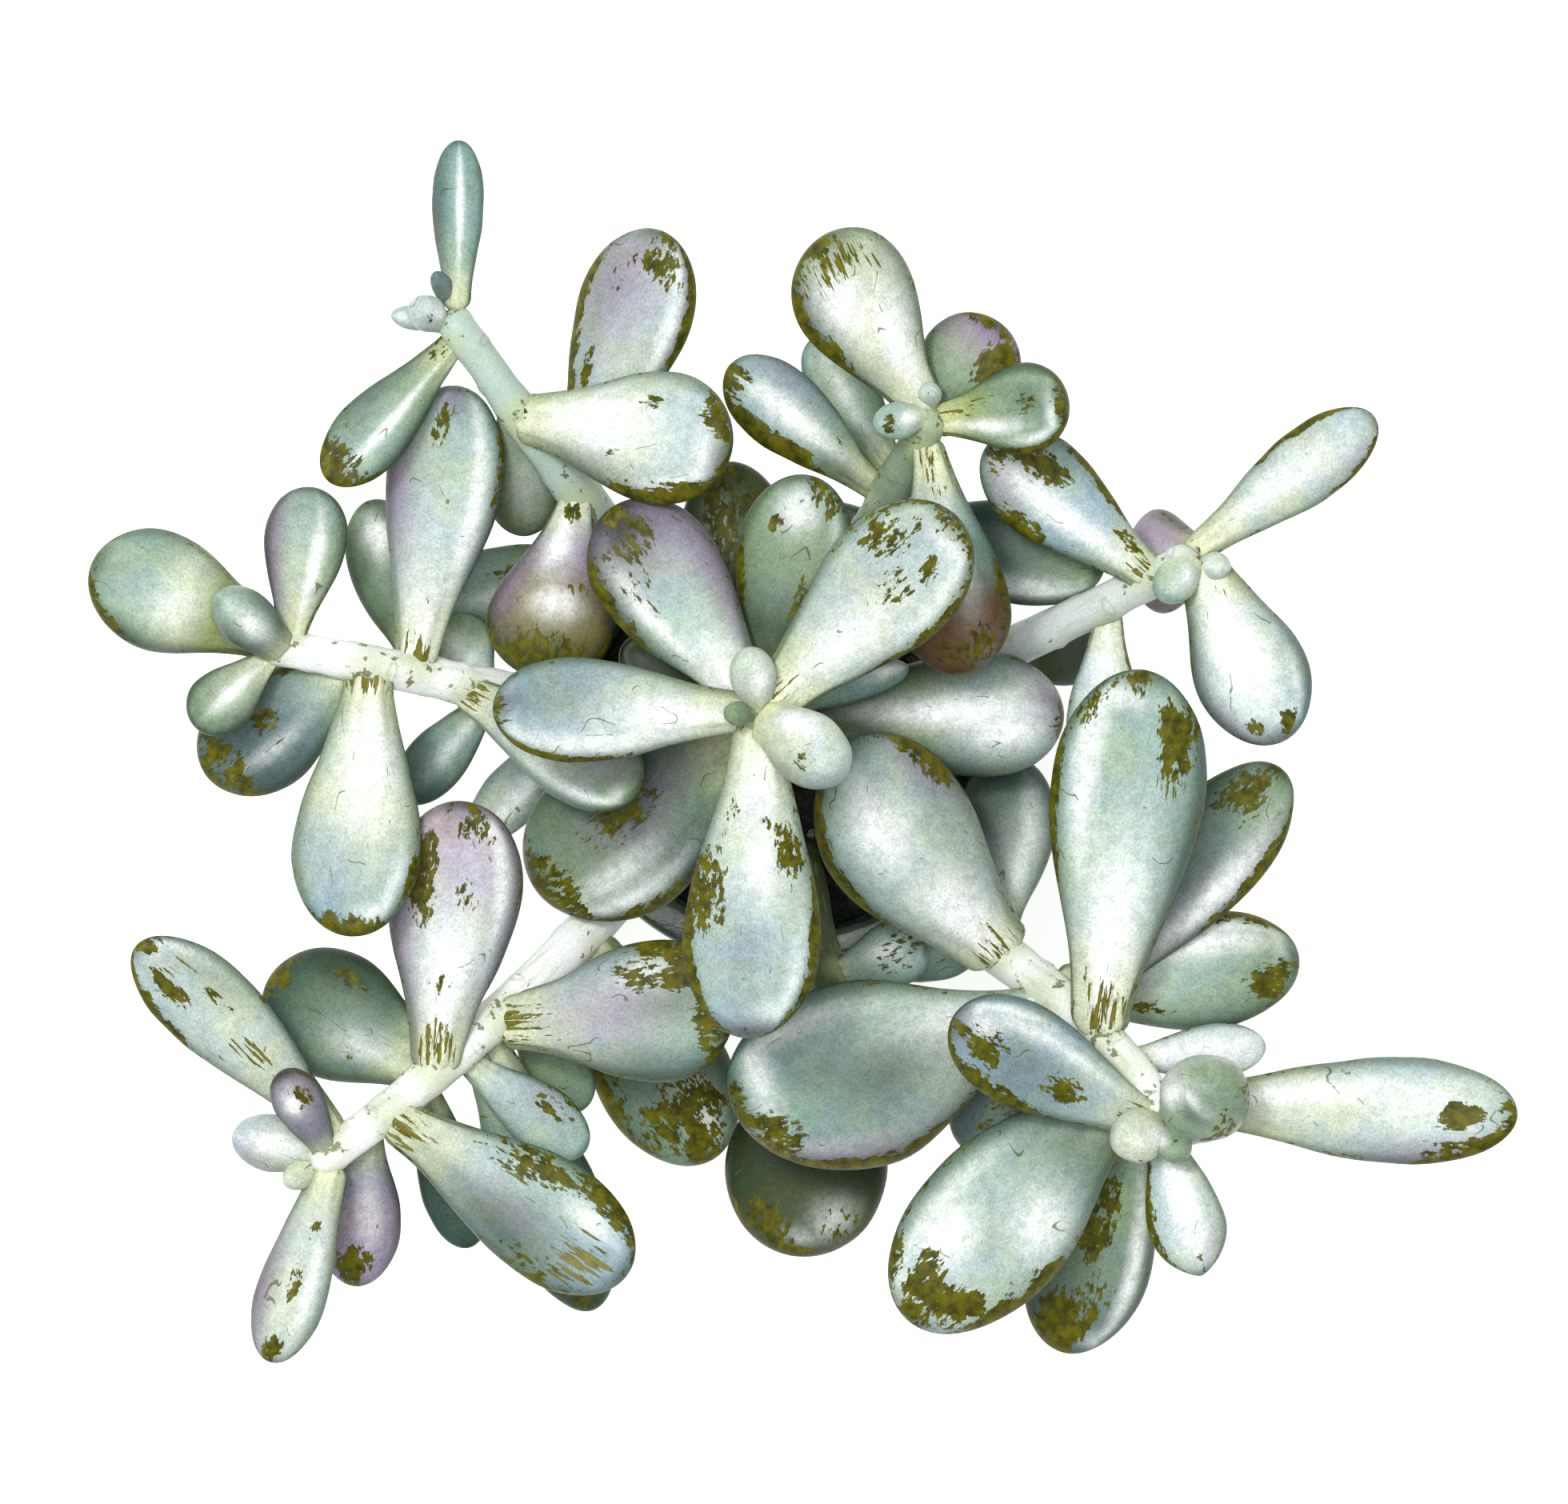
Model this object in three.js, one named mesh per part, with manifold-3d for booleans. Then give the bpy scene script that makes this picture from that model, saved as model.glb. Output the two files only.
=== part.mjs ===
// Potted moonstones, a sprawling Pachyphytum with thick powdery leaves, in a plain round pot.
// Millimetres, +Z up. The origin is the centre of the pot's underside, on the surface it stands on.
// +Y is the far side of the plant in its view from above, and +X is to the right in that view.
import * as THREE from "three";
import { mergeVertices } from "three/addons/utils/BufferGeometryUtils.js";
import Module from "manifold-3d";

// Pot and soil
const POT_HEIGHT = 68;
const POT_FOOT_RADIUS = 28;
const POT_RIM_RADIUS = 40;
const RIM_BAND_HEIGHT = 14;
const RIM_BAND_STEP = 2.2;
const POT_WALL = 3.6;
const POT_FLOOR = 5;
const EDGE_ROUND = 1.2;
const DRAIN_HOLES = 3;
const DRAIN_RADIUS = 3;
const DRAIN_CIRCLE = 15;
const SOIL_TOP = 62;
const SOIL_MOUND = 2.5;
const POT_SIDES = 48;

// Clearance between solids that touch on the real plant
const SEAT_GAP = 0.3;

// Stems
const STEM_FOOT_RADIUS = 4.2;
const STEM_TIP_RADIUS = 2.7;
const STEM_SIDES = 8;
const STEM_STEPS = 12;

// Leaf forms. neck is the width at the root and belly the place of the full width, both as shares;
// depth is thickness over width, and curl is how far the tip bends up over the length, in degrees.
const FORMS = {
  spoon: { neck: 0.36, belly: 0.68, depth: 0.45, curl: 16, sides: 8, rings: 7 },
  pear: { neck: 0.27, belly: 0.72, depth: 0.55, curl: -12, sides: 8, rings: 7 },
  egg: { neck: 0.42, belly: 0.62, depth: 0.5, curl: 8, sides: 8, rings: 7 },
  finger: { neck: 0.5, belly: 0.66, depth: 0.75, curl: 8, sides: 8, rings: 6 },
  bud: { neck: 0.62, belly: 0.56, depth: 0.82, curl: 6, sides: 6, rings: 5 },
};
const ROOT_ROUND = 0.06;
const UPPER_SHARE = 0.42;

// How far a leaf's root sits from its stem's middle, and how far it starts back along the leaf, in stem
// radii: together they sink every root well into the stem
const ROOT_SEAT = 0.7;
const ROOT_BACK = 0.4;

// The leafy stems. path is the stem's cubic curve from the soil to the growing tip. Each leaf is
// [form, place along the stem, azimuth, pitch, roll, sway, length, width, lift]: azimuth turns from +X
// towards +Y, pitch is above the horizon, sway is how far the leaf bends sideways over its length, all
// in degrees, and lift is 1 for a root on top of the stem, 0 at its side and -1 below it.
const SHOOTS = [
  {
    name: "centre_shoot",
    path: [[-3, 2, 44], [-3, 2, 75], [-5, 4, 105], [-4.5, 2.8, 132]],
    leaves: [
      ["spoon", 0.97, 45, 22, 0, 0, 46.5, 22, 0],
      ["spoon", 0.86, 78, 7, 0, 0, 38.5, 18.5, 0],
      ["spoon", 0.93, 126, 1, 0, 0, 40, 21, 0],
      ["spoon", 0.95, 179, 17, 0, 0, 43.5, 17, 0],
      ["spoon", 0.96, 268, 17, 0, 0, 53, 22, 0],
      ["pear", 0.7, -0.5, -6, 0, 0, 49, 20.5, 0],
      ["egg", 0.74, 219, -16, 0, 8, 48, 28, 0],
      ["egg", 0.74, 98, -2, 0, 0, 40.5, 19, 0],
      ["finger", 0.8, 17, -6, 0, 0, 24.5, 6, 0],
      ["spoon", 0.72, 192, -12, 0, 0, 19.5, 9, 0],
      ["spoon", 0.74, 155, -8, 0, 0, 24.5, 11, 0],
      ["bud", 0.99, -36, 42, 0, 0, 19.5, 12, 0],
      ["bud", 0.98, 100, 42, 0, 0, 12, 7.5, 0],
      ["bud", 1, 178, 62, 0, 0, 7.5, 4, 0],
    ],
  },
  {
    name: "far_left_shoot",
    path: [[-11, 14, 44], [-22, 22, 104], [-40, 46, 122], [-55, 68, 124]],
    leaves: [
      ["finger", 1, 89, 8, 0, 0, 27.5, 8.5, 0],
      ["spoon", 0.94, 228, 4, 0, 0, 31.5, 12, 0],
      ["spoon", 0.75, -9, 24, 0, 0, 38.5, 21.5, 1],
      ["spoon", 0.6, 69, 12, -12, 0, 42.5, 19.5, 0],
      ["egg", 0.76, 274, -36, 0, 0, 26.5, 13, -1],
      ["pear", 0.56, 258, 4, 0, 0, 31, 20.5, 0.5],
      ["egg", 0.66, -45, -46, 0, 0, 16, 8, -0.8],
      ["spoon", 0.37, 191, -8, 0, 0, 32.5, 13, -0.3],
      ["bud", 0.99, 152, 62, 0, 0, 9.5, 6, 0],
      ["bud", 0.99, 174, 22, 0, 0, 9.5, 4, 0],
      ["bud", 1, 120, 38, 0, 0, 8.5, 3.6, 0],
    ],
  },
  {
    name: "left_shoot",
    path: [[-16, 2, 44], [-28, 2, 100], [-56, 9, 112], [-85.8, 14.3, 114]],
    leaves: [
      ["egg", 0.99, 158, 10, 0, 0, 32, 19.5, 0],
      ["spoon", 0.95, 80, 18, 0, 0, 27, 13.6, 0.3],
      ["spoon", 0.98, 224, 22, 0, 0, 18.5, 10.6, 0],
      ["egg", 0.83, 217, -14, 0, 0, 32, 19, -0.6],
      ["spoon", 0.8, 266.5, 14, 0, 0, 45, 21, 0.5],
      ["spoon", 0.72, 80.5, 12, 0, 0, 47.5, 19, 0.4],
      ["egg", 0.69, 109, -12, 0, 0, 31, 14, -0.5],
      ["spoon", 0.62, -29, 18, 0, 0, 36, 16, 0],
      ["spoon", 0.56, 118, -35, 0, 0, 17, 10, -0.8],
      ["spoon", 0.54, 228, -22, 0, 0, 26, 10, -0.6],
      ["finger", 0.33, 228, -14, 0, 0, 29.5, 10, -0.4],
      ["bud", 0.97, 138, 42, 0, 0, 16.5, 9.3, 0.8],
      ["bud", 1, 90, 80, 0, 0, 4.5, 3.4, 0],
    ],
  },
  {
    name: "far_right_shoot",
    path: [[5, 15, 44], [8, 22, 90], [16, 38, 112], [23.4, 51.4, 130]],
    leaves: [
      ["spoon", 0.99, 122, 24, 0, 8, 35, 20, 0],
      ["spoon", 0.98, 6, 30, 0, 0, 24, 14.5, 0],
      ["egg", 0.93, 56, 6, 0, 0, 21, 16.5, 0],
      ["spoon", 0.69, 141, 10, 0, 0, 33, 13.5, 0],
      ["spoon", 0.74, 121, -8, 0, 0, 27, 11, -0.6],
      ["pear", 0.92, 279.5, -10, 0, 0, 39.5, 18.5, 0],
      ["egg", 0.58, -11, 5, 0, 0, 37.5, 17, -0.1],
      ["bud", 0.98, 192, 30, 0, 0, 9.5, 6.2, 0],
      ["bud", 1, 95, 60, 0, 0, 5.5, 4, 0],
    ],
  },
  {
    name: "right_shoot",
    path: [[17, 5, 44], [24, 8, 93], [45, 17.5, 110], [66.6, 28.6, 118]],
    leaves: [
      ["spoon", 0.98, 37, 12, 0, 0, 38.5, 12.5, 0],
      ["egg", 0.995, 294, 14, 0, 0, 33, 18.5, 0],
      ["spoon", 0.89, 141, 8, 0, 0, 35, 16.5, 0.6],
      ["egg", 0.99, 186, -66, 0, 0, 24.5, 17, -1],
      ["spoon", 0.76, 268, -12, 0, 0, 28, 12, -0.2],
      ["egg", 0.45, 4, -42, 0, 0, 25, 12, -0.7],
      ["bud", 0.98, 226, 44, 0, 0, 10.5, 7, 0.3],
      ["bud", 1, -10, 60, 0, 0, 7, 4.6, 0],
    ],
  },
  {
    name: "near_right_shoot",
    path: [[12, -13, 44], [22, -33, 98], [50, -41, 116], [61.8, -63.7, 122]],
    leaves: [
      ["spoon", 0.96, -1.5, 8, 0, 0, 57, 17.5, 0],
      ["spoon", 0.99, 152, 16, 0, 0, 40.5, 17, 0],
      ["spoon", 0.98, 285, 14, 0, 0, 27, 12.7, 0],
      ["spoon", 0.76, 83.5, 12, 0, 0, 61.5, 25, 0.9],
      ["egg", 0.5, 127, 21, 0, 20, 47, 26, 0.6],
      ["egg", 0.62, 197, 1, 0, 18, 55, 31, -0.3],
      ["egg", 0.86, 228, -4, 0, 0, 54, 26, -0.2],
      ["spoon", 0.86, 257, -24, 0, 0, 53.5, 21, -1],
      ["spoon", 0.68, 49, -5, 0, 0, 51.5, 18, 0],
      ["egg", 0.62, 8, -8, 0, 0, 41, 19.5, -0.4],
      ["egg", 0.76, 216, -34, 0, 0, 36.5, 18, -1],
      ["spoon", 0.82, 4, -30, 0, 0, 28.5, 9, -0.9],
      ["egg", 0.45, 84, -14, 0, 0, 31.5, 17, 0],
      ["bud", 1, 50, 66, 0, 0, 21.5, 14.5, 0],
      ["bud", 1, 190, 52, 0, 0, 12, 9, 0.3],
      ["bud", 1, 293, 50, 0, 0, 9, 6, 0.3],
    ],
  },
  {
    name: "near_left_shoot",
    path: [[-13, -12, 44], [-22, -20, 94], [-45, -48, 110], [-77.6, -71, 112]],
    leaves: [
      ["spoon", 0.95, 134.5, 14, 0, -10, 47, 15, 0.3],
      ["finger", 0.98, 253, 8, 0, 0, 34, 11.7, 0],
      ["egg", 0.91, 266, -22, 0, 0, 29.5, 13.8, -1],
      ["spoon", 0.78, 83.5, 5, 0, 0, 45, 22, 0.7],
      ["egg", 0.78, 153, -14, 0, 0, 32, 21.5, -0.4],
      ["spoon", 0.87, -33, 8, 0, 0, 47.5, 20, 0.5],
      ["spoon", 0.66, 4.5, 10, 0, 0, 39.5, 23.5, 0.3],
      ["spoon", 0.735, -38, -8, 0, 0, 26, 11, -0.3],
      ["spoon", 0.8, 284, -24, 0, 0, 32.5, 11, -0.9],
      ["egg", 0.69, 291.5, -20, 0, 0, 54, 17, -0.8],
      ["egg", 0.47, 301, -14, 0, 0, 43.5, 22.5, -0.3],
      ["spoon", 0.62, 302, -28, 0, 0, 24, 11, -0.6],
      ["finger", 0.97, 116, 34, 0, 0, 18, 8.5, 0.5],
      ["bud", 0.98, 168, 8, 0, 0, 15.5, 9.5, -0.4],
      ["bud", 0.99, 215, 40, 0, 0, 8.5, 5, 0],
    ],
  },
  {
    name: "near_shoot",
    path: [[1, -15, 44], [2, -24, 78], [6, -38, 90], [8, -50, 93]],
    leaves: [
      ["egg", 1, 261, -6, 0, 0, 38, 27, 0],
      ["spoon", 0.75, 18, 0, 0, 0, 17, 11, 0.3],
      ["spoon", 0.68, 4, -14, 0, 0, 26, 9, -0.3],
      ["bud", 1, 325, 10, 0, 0, 8, 5, 0],
    ],
  },
];

const wasm = await Module();
wasm.setup();

// A closed three.js geometry as a solid that can be joined and cut.
function solidOf(geometry) {
  const bare = geometry.clone();
  bare.deleteAttribute("normal");
  bare.deleteAttribute("uv");
  const merged = mergeVertices(bare, 1e-4);
  return new wasm.Manifold(
    new wasm.Mesh({
      numProp: 3,
      vertProperties: merged.attributes.position.array,
      triVerts: new Uint32Array(merged.index.array),
    }),
  );
}

// A solid back as a three.js geometry.
function geometryOf(solid) {
  const mesh = solid.getMesh();
  const geometry = new THREE.BufferGeometry();
  geometry.setAttribute("position", new THREE.BufferAttribute(mesh.vertProperties, 3));
  geometry.setIndex(new THREE.BufferAttribute(mesh.triVerts, 1));
  return geometry.toNonIndexed();
}

// Moves every vertex of a geometry to where place(vertex) says.
function shaped(geometry, place) {
  const positions = geometry.attributes.position;
  const vertex = new THREE.Vector3();
  for (let i = 0; i < positions.count; i += 1) {
    vertex.fromBufferAttribute(positions, i);
    const moved = place(vertex);
    positions.setXYZ(i, moved.x, moved.y, moved.z);
  }
  return geometry;
}

const radians = THREE.MathUtils.degToRad;

// Share of the full width at u, from the root at 0 to the tip at 1.
function outline(form, u) {
  const tip = (u - form.belly) / (1 - form.belly);
  if (tip > 0) return Math.sqrt(Math.max(0, 1 - tip * tip));
  const flare = (1 - Math.cos((Math.PI * u) / form.belly)) / 2;
  const root = Math.max(0, (ROOT_ROUND - u) / ROOT_ROUND);
  return (form.neck + (1 - form.neck) * flare) * Math.sqrt(1 - root * root);
}

// Share of the full thickness at u: the root stays thicker than it is wide.
function thickness(form, u) {
  return Math.sqrt(outline(form, u)) * Math.min(1, Math.sqrt(outline(form, u)) + 0.12);
}

function stemRadius(along) {
  return STEM_FOOT_RADIUS + (STEM_TIP_RADIUS - STEM_FOOT_RADIUS) * along;
}

// Where a leaf starts and which way it points: root, axis, side and normal.
function leafFrame(curve, [, along, azimuth, pitch, roll, , , , lift]) {
  const heading = radians(azimuth);
  const flat = new THREE.Vector3(Math.cos(heading), Math.sin(heading), 0);
  const rise = radians(pitch);
  const axis = flat.clone().multiplyScalar(Math.cos(rise)).setZ(Math.sin(rise));
  const side = new THREE.Vector3(-flat.y, flat.x, 0).applyAxisAngle(axis, radians(roll));
  const normal = axis.clone().cross(side);
  const tangent = curve.getTangent(along);
  const seat = flat.clone().multiplyScalar(1 - Math.abs(lift)).setZ(lift);
  seat.addScaledVector(tangent, -seat.dot(tangent)).normalize();
  const radius = stemRadius(along);
  const root = curve.getPoint(along).addScaledVector(seat, ROOT_SEAT * radius);
  root.addScaledVector(axis, -ROOT_BACK * radius);
  return { root, axis, side, normal };
}

// One leaf: a sphere drawn out along its axis, flatter above than below, with its tip curled.
function leafSolid(curve, row) {
  const form = FORMS[row[0]];
  const [sway, length, width] = row.slice(5, 8);
  const { root, axis, side, normal } = leafFrame(curve, row);
  const sag = (length * radians(form.curl)) / 8;
  const bow = (length * radians(sway)) / 8;
  const ball = new THREE.SphereGeometry(1, form.sides, form.rings);
  return solidOf(
    shaped(ball, (v) => {
      const u = (1 - v.y) / 2;
      const around = Math.atan2(v.z, v.x);
      const turned = Math.hypot(v.x, v.z) > 1e-6;
      const half = turned ? (width / 2) * outline(form, u) : 0;
      const deep = turned ? width * form.depth * thickness(form, u) : 0;
      const lift = Math.sin(around);
      const share = lift > 0 ? UPPER_SHARE : 1 - UPPER_SHARE;
      return root
        .clone()
        .addScaledVector(axis, u * length)
        .addScaledVector(side, 4 * bow * u * (1 - u) + half * Math.cos(around))
        .addScaledVector(normal, deep * share * lift - 4 * sag * u * (1 - u));
    }),
  );
}

// A tapering tube along a stem's curve, flat at both ends: spare widens it and stretch adds to its foot.
function stemSolid(curve, spare, stretch) {
  const tube = new THREE.CylinderGeometry(1, 1, 1, STEM_SIDES, STEM_STEPS);
  const sideways = new THREE.Vector3(0, 1, 0);
  return solidOf(
    shaped(tube, (v) => {
      const along = 0.5 - v.y;
      const centre = curve.getPoint(along);
      const tangent = curve.getTangent(along);
      if (along < 0.001) centre.addScaledVector(tangent, -stretch);
      const across = sideways.clone().cross(tangent).normalize();
      const above = tangent.clone().cross(across);
      const radius = stemRadius(along) + spare;
      return centre.addScaledVector(across, v.x * radius).addScaledVector(above, v.z * radius);
    }),
  );
}

function latheSolid(outlinePoints) {
  const profile = outlinePoints.map(([radius, height]) => new THREE.Vector2(radius, height));
  const turned = new THREE.LatheGeometry(profile, POT_SIDES);
  turned.rotateX(Math.PI / 2);
  return solidOf(turned);
}

function coneRadius(height) {
  return POT_FOOT_RADIUS + ((POT_RIM_RADIUS - RIM_BAND_STEP - POT_FOOT_RADIUS) * height) / POT_HEIGHT;
}

const material = (name, color, roughness) =>
  new THREE.MeshStandardMaterial({ name, color, roughness, metalness: 0 });
const leafMaterial = material("moonstone_leaf", 0xb9cbbf, 0.62);
const potMaterial = material("glazed_stoneware", 0x2f4a45, 0.45);
const soilMaterial = material("potting_soil", 0x2a2620, 0.95);

const plant = new THREE.Group();

function addPiece(name, solid, finish) {
  const mesh = new THREE.Mesh(geometryOf(solid), finish);
  mesh.name = name;
  plant.add(mesh);
}

// The pot: a tapering wall with a stepped rim band and drain holes round the floor's middle.
function makePot() {
  const bandBottom = POT_HEIGHT - RIM_BAND_HEIGHT;
  const inner = (height) => coneRadius(height) - POT_WALL;
  let pot = latheSolid([
    [0, 0],
    [POT_FOOT_RADIUS - EDGE_ROUND, 0],
    [POT_FOOT_RADIUS, EDGE_ROUND],
    [coneRadius(bandBottom), bandBottom],
    [POT_RIM_RADIUS - EDGE_ROUND / 2, bandBottom],
    [POT_RIM_RADIUS, bandBottom + EDGE_ROUND],
    [POT_RIM_RADIUS, POT_HEIGHT - EDGE_ROUND],
    [POT_RIM_RADIUS - EDGE_ROUND, POT_HEIGHT],
    [inner(POT_HEIGHT) + EDGE_ROUND, POT_HEIGHT],
    [inner(POT_HEIGHT), POT_HEIGHT - EDGE_ROUND],
    [inner(POT_FLOOR), POT_FLOOR],
    [0, POT_FLOOR],
  ]);
  for (let hole = 0; hole < DRAIN_HOLES; hole += 1) {
    const turn = (2 * Math.PI * hole) / DRAIN_HOLES;
    const drill = new THREE.CylinderGeometry(DRAIN_RADIUS, DRAIN_RADIUS, 3 * POT_FLOOR, 16);
    drill.rotateX(Math.PI / 2);
    drill.translate(DRAIN_CIRCLE * Math.cos(turn), DRAIN_CIRCLE * Math.sin(turn), 0);
    pot = pot.subtract(solidOf(drill));
  }
  return pot;
}

// The soil fills the pot and mounds a little, with a plain hole for each stem.
function makeSoil(curves) {
  const inner = (height) => coneRadius(height) - POT_WALL - SEAT_GAP;
  const bottom = POT_FLOOR + SEAT_GAP;
  let soil = latheSolid([
    [0, bottom],
    [inner(bottom), bottom],
    [inner(SOIL_TOP), SOIL_TOP],
    [inner(SOIL_TOP) * 0.7, SOIL_TOP + SOIL_MOUND * 0.7],
    [inner(SOIL_TOP) * 0.35, SOIL_TOP + SOIL_MOUND],
    [0, SOIL_TOP + SOIL_MOUND],
  ]);
  for (const curve of curves) soil = soil.subtract(stemSolid(curve, SEAT_GAP, SEAT_GAP));
  return soil;
}

const curves = SHOOTS.map(
  ({ path }) => new THREE.CubicBezierCurve3(...path.map((point) => new THREE.Vector3(...point))),
);

addPiece("pot", makePot(), potMaterial);
addPiece("soil", makeSoil(curves), soilMaterial);
SHOOTS.forEach((shoot, index) => {
  let body = stemSolid(curves[index], 0, 0);
  for (const row of shoot.leaves) body = body.add(leafSolid(curves[index], row));
  addPiece(shoot.name, body, leafMaterial);
});

export default plant;
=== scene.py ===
import math

import bpy
import numpy as np
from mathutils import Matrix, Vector, noise


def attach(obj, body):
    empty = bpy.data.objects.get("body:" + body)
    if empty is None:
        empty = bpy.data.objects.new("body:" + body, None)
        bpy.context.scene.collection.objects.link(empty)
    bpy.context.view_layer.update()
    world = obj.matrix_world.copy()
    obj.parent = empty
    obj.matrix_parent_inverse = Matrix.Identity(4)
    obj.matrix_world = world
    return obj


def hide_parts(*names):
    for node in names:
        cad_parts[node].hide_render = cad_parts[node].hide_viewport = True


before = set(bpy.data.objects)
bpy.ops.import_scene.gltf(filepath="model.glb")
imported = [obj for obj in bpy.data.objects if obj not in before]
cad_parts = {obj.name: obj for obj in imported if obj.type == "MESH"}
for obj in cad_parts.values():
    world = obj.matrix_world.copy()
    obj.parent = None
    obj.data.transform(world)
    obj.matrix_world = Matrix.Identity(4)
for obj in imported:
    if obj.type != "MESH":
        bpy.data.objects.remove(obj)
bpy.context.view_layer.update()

# Potted moonstones, a sprawling Pachyphytum with thick powdery leaves, in a plain glazed pot.
# Sizes are in millimetres, as on the real plant, and every finished mesh is in metres.
MM = 0.001

# Pot
POT_HEIGHT = 68
POT_FOOT_RADIUS = 28
POT_RIM_RADIUS = 40
POT_WALL = 3.6
POT_FLOOR = 5
POT_SIDES = 144
RIM_BAND_HEIGHT = 14
RIM_BAND_STEP = 2.2
EDGE_ROUND = 1.2
FOOT_RECESS = 1.0
FOOT_RING = 5
FOOT_BEVEL = 0.8
FOOT_EDGE = 0.2
HUB_RADIUS = 0.5
DRAIN_HOLES = 3
DRAIN_RADIUS = 3
DRAIN_CIRCLE = 15
DRAIN_SIDES = 40
THROWING_PITCH = 4.4
THROWING_DEPTH = 0.06
THROWING_WOBBLE = 0.6
BARE_FOOT = (4.2, 3.4)
RIM_BREAK = (1.6, 0.3)
GLAZE_RUN = 6

# Soil. Its lumps are each a size across, a height and a place in the noise. The loose stones are a
# number of them, their smallest and largest size, how finely each is cut and the seed of the draw.
SOIL_TOP = 62
SOIL_MOUND = 2.5
SOIL_RINGS = 44
SOIL_LUMPS = ((7, 0.9, 2.1), (2, 0.35, 8.3))
SEAT_GAP = 0.3
PEBBLES = {"count": 170, "small": 1.0, "large": 2.3, "detail": 2, "seed": 11}
GRAINS = {"count": 480, "small": 0.5, "large": 1.1, "detail": 1, "seed": 12}

# Stems. A scar's width is across the stem and then along it, and a joint swells by a share of its
# leaf's width.
STEM_FOOT_RADIUS = 4.2
STEM_TIP_RADIUS = 2.7
STEM_SIDES = 28
STEM_STEPS = 110
SCAR_SPACING = 6.5
SCAR_TURN = math.radians(137.5)
SCAR_RISE = 0.35
SCAR_WIDTH = (2.1, 0.9)
JOINT_RISE = 0.5
JOINT_REACH = 1.2
JOINT_SHARE = 0.22
STEM_DENT_RISE = 0.22
STEM_DENT_SIZE = 5.0

# Leaf forms. neck is the width at the root and belly the place of the full width, both as shares.
# tip is how fast the width falls off towards the tip, where 0.5 is round, depth is thickness over
# width, curl is how far the tip bends up, in degrees, and dish is how far the upper face sinks
# between its edges, as a share of the width.
FORMS = {
    "spoon": {"neck": 0.36, "belly": 0.68, "tip": 0.5, "depth": 0.45, "curl": 16, "dish": 0.075},
    "pear": {"neck": 0.27, "belly": 0.72, "tip": 0.5, "depth": 0.55, "curl": -12, "dish": 0.0},
    "egg": {"neck": 0.42, "belly": 0.62, "tip": 0.5, "depth": 0.5, "curl": 8, "dish": 0.02},
    "finger": {"neck": 0.5, "belly": 0.66, "tip": 0.5, "depth": 0.75, "curl": 8, "dish": 0.0},
    "bud": {"neck": 0.62, "belly": 0.56, "tip": 0.5, "depth": 0.82, "curl": 6, "dish": 0.0},
    "paddle": {"neck": 0.22, "belly": 0.62, "tip": 0.5, "depth": 0.5, "curl": 8, "dish": 0.02},
    "ladle": {"neck": 0.36, "belly": 0.68, "tip": 0.5, "depth": 0.45, "curl": 16, "dish": 0.11},
    "tapered": {"neck": 0.36, "belly": 0.68, "tip": 0.75, "depth": 0.45, "curl": 16, "dish": 0.05},
}
ROOT_ROUND = 0.06
ROOT_PLUMP = 0.12
ROOT_SEAT = 0.7
ROOT_BACK = 0.4
UPPER_SHARE = 0.42
DISH_WIDTH = 0.55
RIBS = 7
RIB_RISE = 0.014
DENT_RISE = 0.016
DENT_SIZE = 0.42
# Where a lip mark's painted highlight lies between a leaf's middle and its edge, and how wide it is.
LIP_PLACE = 0.72
LIP_WIDTH = 0.13
TINT_SPAN = (0.12, 0.9)
TIP_EDGE = 1.6
# A bud keeps this share of its edge measure, which softens the painted shade and the wear at its edges,
# and this share of its lean, which softens the painted shade on its turned-away faces.
BUD_EDGE = 0.35
BUD_LEAN = 0.4
PATTERN_SHIFT = np.array([61.0, 23.0, 47.0])
LEAF_SEGMENTS = 56
LEAF_RINGS = 46
BUD_SEGMENTS = 32
BUD_RINGS = 26
BUD_LENGTH = 16

# Patterns of the finishes, as waves a millimetre: 0.5 gives mottling about 2 mm across. The powder's
# real grain is too fine to show, so it is drawn 0.4 mm across.
LEAF_TONES = {"Scale": 0.11, "Detail": 3, "Roughness": 0.5}
LEAF_MOTTLE = {"Scale": 0.5, "Detail": 6, "Roughness": 0.65}
LEAF_GRAIN = {"Scale": 2.4, "Detail": 3, "Roughness": 0.65}
LEAF_FIBRES = {"Scale": 1.45, "Detail": 4, "Roughness": 0.6}
WORN_PATCHES = {"Scale": 0.16, "Detail": 3, "Roughness": 0.6}
WORN_FLECKS = {"Scale": 1.2, "Detail": 5, "Roughness": 0.66}
WORN_CLUMPS = {"Scale": 0.4, "Detail": 3, "Roughness": 0.5}
SCRATCHES = {"Scale": 0.17, "Detail": 1.6, "Roughness": 0.4}
STEM_FIBRES = {"Scale": 0.8, "Detail": 4, "Roughness": 0.6}
STEM_MOTTLE = {"Scale": 0.45 / MM, "Detail": 5, "Roughness": 0.6}
STEM_GRAIN = {"Scale": 2.5 / MM, "Detail": 3, "Roughness": 0.6}
GLAZE_MOTTLE = {"Scale": 0.16 / MM, "Detail": 6, "Roughness": 0.6}
GLAZE_SPECKS = {"Scale": 0.9 / MM, "Detail": 3, "Roughness": 0.7}
GLAZE_STREAKS = {"Scale": 0.12 / MM, "Detail": 4, "Roughness": 0.55}
SOIL_CRUMBS = {"Scale": 0.7 / MM, "Detail": 6, "Roughness": 0.7}
BARK_FLECKS = {"Scale": 1.6 / MM, "Detail": 2, "Roughness": 0.5}
LAVA_PORES = {"Scale": 1.5 / MM, "Detail": 5, "Roughness": 0.7}

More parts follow.
